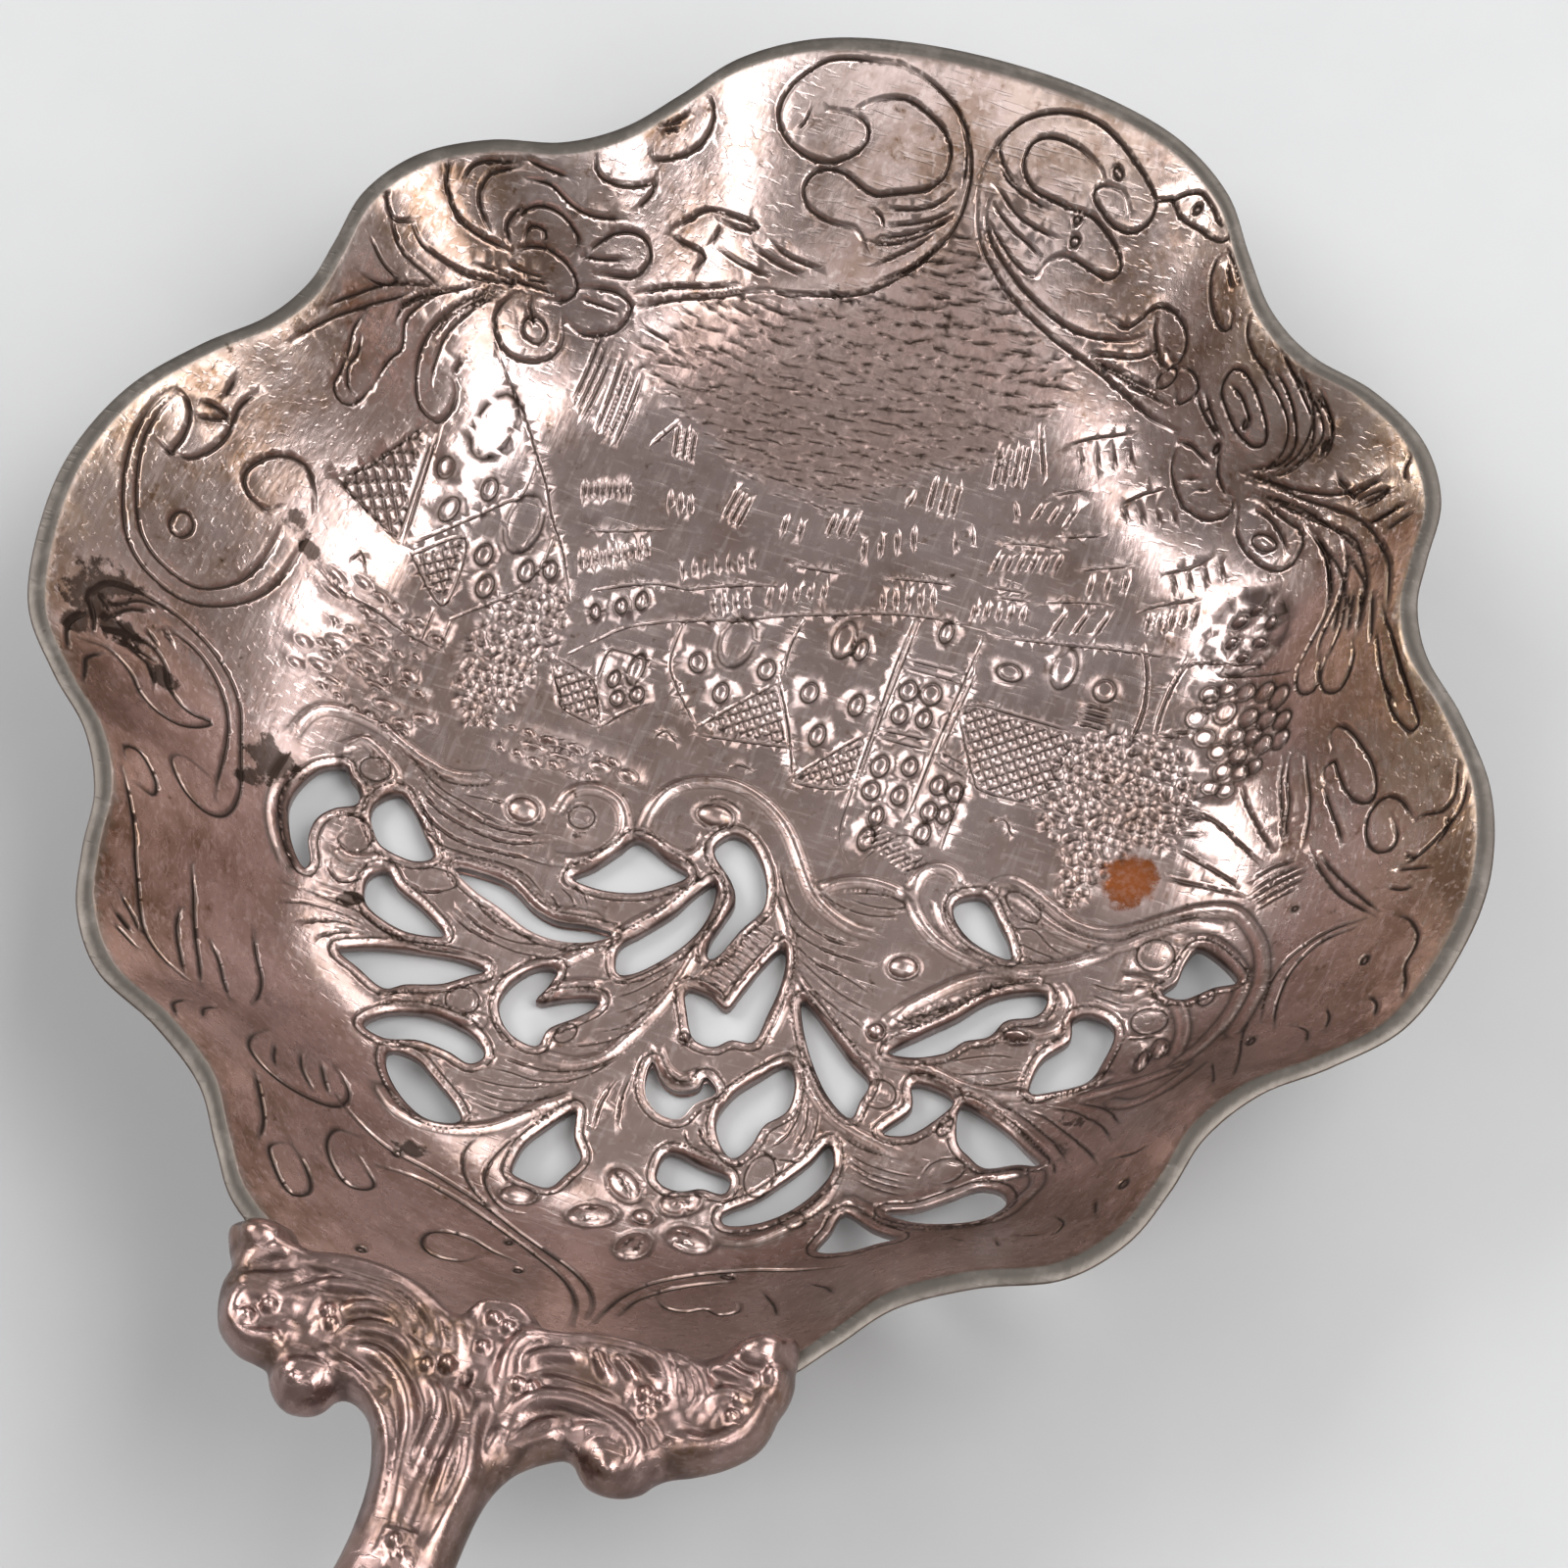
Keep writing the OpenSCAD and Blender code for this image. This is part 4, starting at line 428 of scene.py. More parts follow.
ringTree = [
    (23.5, 22.9, 2.05, 2.3, 0), (22.1, 18, 0.62, 0.6, 0), (23.6, 18.4, 0.6, 0.65, 0), (22.4, 19.5, 0.55, 0.5, 0),
    (23.3, 19.8, 0.5, 0.45, 0), (24.4, 19.5, 0.5, 0.5, 0), (25.5, 19.3, 0.5, 0.55, 0), (26.4, 18.8, 0.5, 0.6, 0),
    (25, 18, 0.5, 0.5, 0), (26.1, 17.7, 0.5, 0.5, 0), (24.6, 17, 0.5, 0.5, 0), (25.6, 16.9, 0.45, 0.5, 0),
    (22.9, 16.9, 0.6, 0.55, 0), (23.9, 16.1, 0.55, 0.5, 0), (25.1, 15.9, 0.5, 0.5, 0), (26.3, 16.3, 0.5, 0.5, 0),
    (27.2, 16.4, 0.45, 0.5, 0), (24.5, 15, 0.5, 0.5, 0), (25.5, 14.9, 0.5, 0.45, 0), (24.1, 14, 0.5, 0.45, 0),
    (25, 13.9, 0.5, 0.45, 0), (26.2, 15.2, 0.4, 0.4, 0), (27, 17.4, 0.45, 0.5, 0), (22.6, 18.9, 0.4, 0.4, 0)]
# dark stains: x, y, the two radii and the turn in degrees
stains = [
    (-36.7, 0.3, 2.2, 1.1, 75), (-36.6, -2.3, 1.2, 0.6, 80), (-35.9, 1.5, 1.5, 0.6, 40), (-26.2, -1.9, 1.3, 1.4, 10),
    (-26.7, -3.6, 1.1, 0.6, 60), (-32.3, -1.7, 1, 0.7, -30), (-34.9, -0.9, 1.3, 0.7, 20), (-30, 11.6, 0.9, 0.7, 0),
    (-28.9, 10.8, 0.8, 0.6, 0), (-8.7, 0.2, 0.7, 0.3, 0), (-19.2, -7.6, 0.8, 0.5, 20), (-10.2, -21.6, 0.9, 0.5, 0),
    (23, -8.4, 1, 0.4, -30)]
# right wall: thin fans beside the flower and more leaf lines; then short dark cuts on both walls
cut(0.14, -0.12,
    [20.2, 36.4, 21.8, 34.8, 23.6, 33.6, 24.4, 32.5, 23.9, 31.5, 23, 30.9, 21.5, 30.7],
    [19.8, 35.1, 21.3, 33.9, 22.3, 32.8, 22.4, 31.7, 21.4, 30.9], [21.1, 35.3, 22.7, 33.9, 23.6, 32.9, 23.3, 31.6,
    22, 30.8], [23.2, 34.1, 24.6, 33.1, 24.8, 32.1, 24.3, 31.3], [21.4, 30.1, 24.1, 29.4, 26.4, 28.2, 28.1, 26.8,
    29.1, 25.9], [25.5, 27.9, 27.4, 26, 28.4, 23.8, 28.7, 21.5, 28.4, 19.5], [27.7, 26.7, 29.2, 24.3, 29.6, 22.2],
    [30.8, 20.6, 32, 17.9, 33.1, 16.7], [31.6, 20.3, 33.1, 17.7, 33.9, 16.7])
cut(0.2, -0.22,
    [27.1, 29.7, 28.3, 30.3], [27.7, 29.1, 29.1, 29.6], [28.4, 28, 30, 28.7], [29.5, 27.4, 30.6, 28.1],
    [25.9, 30.6, 27.4, 29.4], [28.8, 23.9, 29.2, 21.3], [29.3, 23.8, 29.8, 21], [29.9, 23.3, 30.7, 20.1],
    [28.1, 24.3, 28.4, 21.7], [-35.8, -1, -35.2, 0.6, -34.3, 1.6], [-35.4, -1.5, -34.6, -0.8, -33.7, -0.4],
    [-34.8, -1.7, -33.9, -1.2, -33, -1], [-35.8, 0.1, -35, 1.6, -33.9, 2.2], [-33.4, 1.2, -32.8, 0.7],
    [-34, 0.4, -33.3, 0])
# pierced ground: leaf ribs between the openings
cut(0.15, -0.16,
    [-19.8, 2.1, -18.4, 1.2, -17, 0.5, -15.4, 0.1, -13.8, -0.3, -12.6, -0.4],
    [-19, 1.6, -17.6, 0.4, -16, -0.2, -14.4, -0.6, -13, -0.7, -11.4, -0.5, -10, 0],
    [-18.8, 0.7, -17.4, -0.4, -16, -1, -14.4, -1.3, -12.6, -1.4, -11, -1, -9.6, -0.4],
    [-18.8, 0, -17.4, -1.2, -16, -1.9, -14.4, -2.2, -12.6, -2.1, -11.2, -2, -9.8, -2, -8.6, -1.8],
    [-18.9, -0.5, -17.6, -1.6, -16.2, -2.6, -14.6, -2.8, -12.8, -2.7, -11, -2.8, -9.8, -3.4, -8.8, -4.2],
    [-18.4, 1.7, -17.2, 1.1, -16, 1.1, -15, 1.4, -14.2, 1.9], [-15.8, 0.6, -14.6, 0.7, -13.4, 0.9],
    [-8.6, -3, -7.8, -3.4, -7.2, -4], [-8, -2.6, -7.2, -3, -6.7, -3.6], [-9, -3.6, -8.4, -4, -8, -4.4],
    [-12.9, -5.2, -12, -5.8, -11, -6.2, -9.8, -6.4, -8.4, -6.4], [-13.6, -5.9, -12.4, -6.5, -11, -6.9, -9.4, -6.9,
    -7.6, -6.4], [-13.9, -6.4, -12.6, -7, -11.2, -7.3, -9.4, -7.5, -7.6, -7.2],
    [-16.9, -4.4, -15.8, -4.2, -14.6, -4.2, -14.1, -4.8, -14.8, -5.4, -15.8, -5.7, -16.8, -5.4],
    [-7.6, -7, -6.6, -6, -5.6, -5], [-22.6, -8.7, -21.2, -8.3, -19.8, -8.2, -18.6, -8.2, -17.4, -8.6, -16, -8.9,
    -14.4, -8.9, -12.8, -8.6, -11, -8.4], [-22.4, -10, -21.4, -9.2, -20.2, -8.8, -19, -8.7, -17.8, -8.9],
    [-21, -10.4, -20.2, -9.6, -19.2, -9.2, -18.2, -9.1], [-20, -10.8, -19.4, -10, -18.6, -9.5],
    [-22.3, -3.4, -21.6, -2.8, -20.6, -2.7, -19.8, -3.2, -19.6, -4, -20, -4.7, -20.8, -4.9, -21.4, -4.4, -21.2, -3.6],
    [-21.2, -6.2, -20.6, -6.8, -19.8, -6.6, -19.4, -6], [-3.8, -7.6, -2.8, -6.9, -1.9, -6, -1.1, -5],
    [-3.4, -8.4, -2.4, -7.6, -1.5, -6.6, -0.7, -5.6], [-3.1, -9.3, -2.1, -8.5, -1.2, -7.4, -0.4, -6.2],
    [-3.6, -10.6, -2.4, -9.9, -1.4, -8.8, -0.6, -7.6], [-5, -12, -3.6, -11.4, -2.4, -10.6, -1.4, -9.6, -0.9, -8.6],
    [-8.4, -13.6, -6.8, -13.7, -5.2, -13.6, -3.6, -13, -2.4, -12, -1.4, -10.6],
    [-8.8, -14.6, -7.4, -14.4, -5.8, -14.4, -4.2, -13.9, -2.8, -12.8, -1.8, -11.4],
    [-9, -15.4, -7.6, -15.3, -6.2, -15, -4.8, -14.4], [-8.6, -16.1, -7.2, -16.1, -5.8, -15.7, -4.6, -15.1, -3.4, -14],
    [-8.4, -16.8, -7, -16.8, -5.6, -16.4, -4.6, -15.8], [-5.2, -17.4, -5.9, -18.8, -6.2, -20.2, -6, -21.4,
    -5.2, -22.4, -4.2, -23, -3.4, -22.9], [-7.4, -18.6, -7.7, -20, -7.2, -21.4, -6, -22.6, -4.6, -23.4],
    [-1.6, -13, -1.9, -14.4, -1.8, -15.8], [-0.9, -12.4, -0.9, -14, -0.6, -15.4], [-14.6, -11.5, -13.8, -11.9],
    [-9.6, -11.6, -8.6, -12.2, -7.6, -12.8], [2.6, 2.4, 3.2, 1.2, 4, 0.1, 5, -0.7, 6.2, -1.1, 7.6, -1.2, 8.4, -1],
    [2.8, 1, 3.6, -0.3, 4.6, -1.3, 6, -1.8, 7.4, -1.95, 8.8, -2, 9.6, -1.9],
    [4.4, -1.6, 5.6, -2.4, 6.6, -2.8, 7.8, -3, 9, -3.3, 10.2, -3.7], [5.4, -2.8, 6.6, -3.4, 8, -4, 9.4, -4.4,
    10.6, -4.6], [5.4, -3.4, 6.8, -4.3, 8.4, -5, 9.8, -5.5, 10.6, -5.9], [5.6, -3.9, 7, -5, 8.4, -5.9, 9.8, -6.6,
    11, -7.1], [5.4, 1.3, 6.6, 0.9, 8, 0.8, 9.4, 1.1, 10.2, 1.6], [6.6, 1.6, 8, 2.1, 9.4, 2.3, 10.2, 2, 9.4, 1.6,
    8, 1.4, 6.6, 1.5], [16.8, 1.9, 18, 1.7, 19.2, 1.6], [17, 1.3, 18, 1.1, 18.8, 1],
    [15.4, 3.2, 16.4, 2.7, 17.4, 2.9, 18.6, 2.2, 19.8, 1.9], [21.6, 0.1, 22.6, 0, 23.4, -0.1],
    [21.4, 0.8, 22.4, 0.7, 23.4, 0.8], [24.2, -2.2, 25.2, -2.1, 25.9, -1.9],
    [18.2, -7.8, 19.8, -8, 21, -8.6, 22.2, -9.6, 23, -10.6, 23.8, -11.8], [20, -7.6, 21.4, -8, 22.6, -8.9,
    23.8, -10.1, 24.8, -11.3, 25.6, -12.6], [21.4, -7.3, 22.8, -7.6, 24, -8.4, 25, -9.4, 25.8, -10.8],
    [23, -7, 24.2, -7.5, 25.2, -8.4, 25.9, -9.6], [15.4, -6.8, 16.8, -6.4, 18.2, -5.8, 19.6, -5.2],
    [16.6, -7, 18, -6.7, 19.2, -6.1, 20, -5.6], [15.2, -6.2, 16.4, -5.5, 17.8, -4.9, 19, -4.7],
    [11.2, -12.1, 12.6, -12.5, 14.2, -12.5], [11.8, -12.9, 13.2, -13.3, 15, -13.4, 15.9, -13.3],
    [12, -13.3, 13.4, -13.8, 15.4, -13.9], [12.4, -13.8, 13.8, -14.2, 15.6, -14.3],
    [12.8, -14.4, 14.2, -14.7, 15.6, -14.8], [16.2, -13.4, 16.4, -12.4, 17.2, -11.7, 18.1, -11.8, 18.3, -12.6,
    17.8, -13.3, 17, -13.6], [8.2, -9.8, 8.6, -11.4, 8.4, -13, 7.6, -14.2], [8.8, -10.6, 9.2, -12.2, 9, -13.6],
    [9.6, -11.2, 9.8, -12.6, 9.6, -13.8], [7.2, -14.2, 8.4, -14.5, 9.6, -14.2], [3.6, -14, 4.2, -14.8, 5.2, -15.2],
    [3, -14.6, 3.6, -15.3, 4.6, -15.5], [6.2, -5, 6.9, -6.6, 7.8, -8.2, 9, -9.6, 10.2, -10.7],
    [23.4, -12.6, 23, -11.6], [12.2, -16, 11.4, -17.4, 10.4, -18.4], [-2.6, 4.6, -1.6, 5, -0.4, 4.6])
ring(0.14, -0.15, (-11.3, -11.2, 0.95, 0.85, 0), (24.3, 3.3, 1.05, 1, 0), (12.4, -9.1, 0.9, 0.85, 0),
     (7.8, -15.8, 0.8, 1.3, 0), (-8.9, 1.4, 0.75, 0.7, 0), (-21, 0.4, 0.9, 0.7, 0), (-5.2, -11.2, 0.7, 0.5, 55),
     (16.4, -9.8, 0.35, 0.7, -10), (27.8, 0.9, 0.45, 0.6, 0), (25.2, -0.9, 1, 0.9, 0), (10.4, -18, 0.7, 0.6, 0),
     (16.4, 4, 1.2, 0.6, -25))
cut(0.3, 0.22,
    [-25.9, 0.6, -25.6, 1.9, -24.8, 2.8, -23.2, 3.1, -21.4, 2.9, -20, 2.3, -18.6, 1.8, -17.2, 1.5, -16, 1.6, -15, 2],
    [-25.3, -1.4, -25.3, -3, -24.9, -4.8, -24.2, -6.2, -23.2, -7.4], [-16, -3.2, -14, -3.3, -12.4, -3.2, -11, -3.5,
    -9.8, -4.2, -8.6, -4.6, -7.4, -4.4, -6, -4.2], [-10.3, 1.5, -10.1, 2.5, -9.4, 3.1, -8.4, 3.3, -7.3, 3, -6.6, 2.2,
    -6.3, 1.2, -6.6, 0.2, -7.2, -0.6, -8.2, -1.2, -9.4, -1.5], [-5.4, 1.8, -5.4, 3, -5, 4.2, -4.2, 5.1, -3, 5.7,
    -1.6, 6, -0.2, 5.8, 1.2, 5.2, 2.4, 4.3, 3.4, 3.1, 4.3, 1.9, 5.2, 0.9, 6.4, 0.2, 7.8, -0.2, 8.8, -0.2],
    [-5.4, 1.5, -4.6, 1.3, -3.4, 1, -2.4, 1, -1.9, 1.7, -2, 2.4], [-23.1, 1, -22.3, 1.8, -21.4, 1.6, -20.6, 1.1,
    -19.7, 0.4, -20.2, -0.5, -21, -1], [-22.7, 0.3, -22, -0.6, -21, -1, -21, -1.8],
    [-5.6, -12.9, -4, -12.7, -2.7, -11.8, -1.9, -10.4, -1.2, -8.8, -0.6, -7.2, -0.2, -5.4, 0.1, -3.6, 0.5, -2,
    0.5, -0.8], [-13, -18.6, -12, -19.3, -10.8, -19.4, -9.4, -19.1, -8, -18.5, -6.8, -17.7, -5.8, -16.7, -4.8, -15.6,
    -3.9, -14.7], [-10.2, -10, -9, -8.9, -8, -8, -7, -7.4, -6.2, -6.6, -5.2, -5.5, -4.4, -4.6, -3.6, -3.6, -2.7, -2.6,
    -2, -1.2, -1.6, -0.3], [-7, -9.4, -6.2, -8.6, -5.2, -8.1, -4.2, -7.9], [-21, -7.9, -19.6, -7.7, -18.4, -7.8,
    -17, -8.3, -15.6, -8.6], [-21.3, -5, -20.4, -5.3, -19.4, -5, -18.6, -4.6],
    [5.2, 1.4, 6.2, 2.2, 7.4, 2.7, 8.8, 2.8, 10, 2.6], [10.2, 3.1, 10.3, 4.1, 11, 4.8, 12, 4.8, 12.7, 4.2],
    [10.4, 2.4, 11, 1.6, 12, 0.8, 13.4, 0.2, 15, 0, 16.6, 0.1, 18, 0.6, 19.4, 1.2, 20.6, 2, 21.6, 2.8],
    [11.8, 2.8, 12.6, 1.7, 13.8, 0.9, 15.2, 0.5, 16.6, 0.5], [14.3, 4.1, 14.6, 4.9, 15.4, 5.3, 16.4, 5.1, 17.6, 4.6,
    19, 4, 20.4, 3.8, 21.8, 4.1, 23, 4.8, 24.2, 5.6, 25.6, 6.4, 27, 6.7, 28, 6.4, 29, 5.4, 29.8, 4.2, 30.3, 2.8, 30.5,
    1.4, 30.3, -0.4, 30, -2], [15.2, 4.7, 16.6, 4.2, 18, 3.5, 19.6, 3.1, 21.2, 3.1, 22.4, 3.5, 23.4, 4.4, 24.6, 5.2,
    26, 5.7, 27.2, 5.6], [25.9, 4.6, 27, 4.6, 28.2, 3.8, 29.2, 2.6, 29.6, 1.2, 29.4, -0.4, 28.9, -2, 28.4, -3.2,
    27.6, -4.6], [23.6, 0.5, 24.4, 1.1, 25.4, 1, 26.4, 0.3, 27, -0.8, 27.3, -2, 27.3, -3.4],
    [11.4, -4.9, 12.2, -3.7, 13.2, -2.6, 14.4, -1.4, 15.6, -0.6, 17, -0.1, 18.4, 0.1],
    [11.8, -5.7, 13.2, -4.9, 14.4, -3.8, 15.4, -2.6, 16.2, -1.6, 17, -0.9], [19.9, 0.1, 20.5, -0.5, 20.7, -1.4,
    20.3, -2.4, 19.4, -3, 18.4, -3.3, 17.4, -3.8, 16.7, -4.4], [11.8, -7.1, 13, -7, 14.4, -6.9, 16, -7.2, 17.6, -7.3,
    19, -7, 20.4, -6.7, 22, -6.3, 23.2, -5.7, 24, -5], [16.8, -7.7, 18.4, -7.9, 19.8, -8.4, 21, -9.2, 22.2, -10.2,
    23, -11], [23.2, -6.5, 24.6, -6.1, 26, -5.8, 27, -5.4, 28, -4.8], [25, -7.4, 26, -7.9, 27, -7.7, 27.8, -7,
    28.4, -6, 28.8, -4.8], [5.6, -3.9, 6.4, -4.6, 7.4, -5.4, 8.8, -6.3, 10, -7, 11.2, -7.5, 11.8, -8.2],
    [3.4, 0, 4.2, -1.2, 4.9, -2.6, 5.4, -4.4, 5.6, -6.2, 5.4, -7.8], [7.3, -8.3, 8.7, -9.8, 10.1, -11, 11.6, -11.6,
    13, -11.9, 14.4, -12.1], [13, -15.8, 14.6, -16.4, 16, -17, 17.6, -17.4, 19.2, -17.2, 20.6, -16.6, 21.7, -15.8,
    22.2, -14.6, 22.6, -13.4, 22.3, -12.3, 21.7, -12], [11.7, -14.4, 11.6, -16, 10.8, -17.6, 10, -18.8, 8.8, -20,
    7.6, -20.4], [19.4, -12.6, 20.6, -12.4, 21.4, -12.2], [7, -9, 6, -9.8, 5, -11, 4.2, -12.4, 4.2, -13.4],
    [0, -10.4, 0.8, -11.4, 1.8, -11.7, 2.6, -11.2], [3, -15.5, 4.4, -15.6, 6, -15.5],
    [-0.6, 1.2, 0, 0, 0.6, -1, 0.6, -2.4], [-15.4, -12.6, -14, -12.1, -12.8, -11.8],
    [-13, -12.2, -11.4, -12.2, -9.9, -12], [22.9, 1.5, 24, 1.6, 25, 1.3])
cut(0.14, 0.2, [2.6, -1.2, 1.6, -3.4, 0.7, -5.8], [4, -1.9, 3.2, -4.2, 2.4, -6.3], [0.7, -5.8, 2.4, -6.3])
ticks(0.13, 0.16, (3.1, -1.8, 1.6, -5.7, 11, 1.3, -16))
ticks(0.1, -0.12, (12.4, -4.6, 16.6, -0.9, 14, 1.2, 15), (4, -18.5, 4.9, -19.1, 3, 0.9, 35),
      (0.6, -18.4, 1.2, -19, 3, 0.9, -35), (5.2, -20.8, 5.4, -21.4, 2, 0.9, -10), (-0.2, -21, 0.2, -21.7, 2, 0.9, 25),
      (2.7, -22.5, 3.3, -22.6, 2, 0.9, 75), (7, 5.6, 9.8, 4.4, 9, 1.4, 40), (25.4, -3.4, 26.6, -3.2, 3, 1.3, 85))
raised = [(-1.8, 3.9, 1.15, 0.7, 5), (-12.2, 0.8, 1, 0.8, 0), (11, -5.6, 0.5, 0.5, 0), (26.3, -2.8, 0.5, 0.8, 10),
          (25.6, -3.8, 0.35, 0.9, 0), (11.2, -1.5, 0.9, 0.7, 20), (18.4, -3.5, 0.8, 0.35, 10),
          (1.1, -9.3, 0.35, 0.3, 0), (2.7, -20.3, 0.6, 0.5, 0), (-4, -21.6, 1, 0.7, 20), (1, -18.7, 1.25, 0.8, -35),
          (4.3, -18.7, 1.25, 0.85, 35), (5.6, -21, 1.35, 0.9, -10), (3, -22.6, 1.2, 0.9, 75),
          (0.1, -21.3, 1.35, 0.85, 25), (22.8, 23.7, 0.5, 0.35, 30), (24.3, 22.4, 0.45, 0.3, -20),
          (23.6, 24.3, 0.4, 0.25, 10), (24.6, 23.5, 0.3, 0.45, 0), (22.7, 22.5, 0.4, 0.3, 50),
          (23.6, 21.6, 0.35, 0.25, 0)]
# outlines filled with texture: crossed lines, beads, or a wedge of short fine cuts
crossed = [
    ((-28.5, 14.8), (-25.4, 20), (-25, 14.1)), ((-23.7, 13.6), (-21.5, 15.5), (-21.3, 11.7)), ((-13.6, 9.6),
    (-12.8, 10), (-11.4, 9.6), (-10.6, 8.6), (-10.1, 7.4), (-12.4, 7.5)), ((-4.3, 9), (-3, 10.7), (-1.3, 12.6),
    (-0.2, 10.6), (0.4, 9.4)), ((1.8, 7.7), (3.7, 10), (4.6, 11), (4.7, 8)), ((9.3, 14.5), (10, 15), (16, 15),
    (15.4, 10.3), (12.1, 10.2), (11, 11.2))]
beaded = [
    ((-19.1, 9.4), (-18.6, 11.4), (-17.3, 13.8), (-15.4, 14.6), (-14, 13.2), (-13.9, 11), (-14.4, 8.8), (-15, 6.8),
    (-16, 5), (-16.6, 4.2), (-17.6, 5), (-18.6, 7)), ((15, 13), (16, 15), (18, 16), (21, 16.2), (22.5, 15.4),
    (23.6, 13), (23.4, 11), (22.6, 9.6), (21, 9.2), (20.4, 7.6), (19.5, 5.8), (18.8, 4.8), (17.9, 5.8), (17, 8.2),
    (15.8, 9), (15.2, 11))]
wedge = [(-16, 29.6), (-13.2, 28), (-12.4, 27.2), (-11, 26.7), (-9.4, 26), (-8.4, 25.2), (-7.4, 24.6), (-5, 24.3),
         (-3, 24.3), (-1.2, 24.6), (0, 25.5), (1.5, 27), (3.2, 28.3), (5, 29), (6.4, 30.2), (7, 32), (8.8, 34),
         (9.4, 35.4), (8.4, 36.4), (5, 38.2), (2.2, 40.2), (0.6, 41.8), (-1.2, 39.8), (-3.8, 37.6), (-7.4, 36.4),
         (-11, 35), (-14, 32.6)]
# a fine groove beside the edge of each opening
for edge in openings:
    edge = smoothLoop(edge, 6)
    turning = edge[:, 0] @ np.roll(edge[:, 1], -1) - edge[:, 1] @ np.roll(edge[:, 0], -1)
    line = edge - chasing["besideOpening"] * sideways(edge, True) * np.sign(turning)
    strokes.append((0.11, -0.1, smoothLine(np.concatenate([line, line[:1]]), 0.34)))


def insideLoop(points, loop):
    # crossing count of a ray toward +x, for all points at once, edge by edge
    hit = np.zeros(len(points), bool)
    x, y = points[:, 0], points[:, 1]
    for (ax, ay), (bx, by) in zip(loop, np.roll(loop, -1, 0)):
        cross = (ay > y) != (by > y)
        hit ^= cross & (x < (bx - ax) * (y - ay) / (by - ay + 1e-12) + ax)
    return hit


def nearestOnLine(points, line):
    # distance from each point to a row of segments, and how far along it the nearest place is (0 to 1)
    a, b = line[:-1], line[1:]
    d = b - a
    length = np.maximum((d ** 2).sum(1), 1e-12)
    t = np.clip(((points[:, None] - a) * d).sum(2) / length, 0, 1)
    gap = np.hypot(*(points[:, None] - a - d * t[..., None]).transpose(2, 0, 1))
    k = gap.argmin(1)
    rows = np.arange(len(points))
    return gap[rows, k], (k + t[rows, k]) / len(a)


def boxed(points, line, reach):
    # indices of the points in the line's box, widened by the reach
    return np.flatnonzero(((points > line.min(0) - reach) & (points < line.max(0) + reach)).all(1))


def ovalRadius(points, x, y, rx, ry, turn):
    # 1 on the oval's edge, 0 at its middle
    a = math.radians(turn)
    dx, dy = points[:, 0] - x, points[:, 1] - y
    return np.hypot((dx * math.cos(a) + dy * math.sin(a)) / rx, (dy * math.cos(a) - dx * math.sin(a)) / ry)


def evenScatter(loop, gap, seed):
    # seeded random places inside a loop, one in each cell of a jittered grid
    rng = np.random.RandomState(seed)
    lo, hi = loop.min(0), loop.max(0)
    x, y = np.meshgrid(np.arange(lo[0], hi[0], gap), np.arange(lo[1], hi[1], gap))
    p = np.stack([x.ravel(), y.ravel()], -1) + rng.uniform(-0.36, 0.36, (x.size, 2)) * gap
    return p[insideLoop(p, loop)]


# short fine cuts in the wedge, of random length and nearly level
wedgeRandom = np.random.RandomState(5)
for x, y in evenScatter(smoothLoop(wedge, 4), chasing["wedgeGap"], 11):
    long, a = wedgeRandom.uniform(0.25, 0.8), wedgeRandom.normal(0.12, 0.12)
    d = np.array([math.cos(a), math.sin(a)]) * long
    strokes.append((0.1, wedgeRandom.uniform(-0.09, -0.04), np.linspace((x, y) - d, (x, y) + d, max(3, int(long * 6)))))


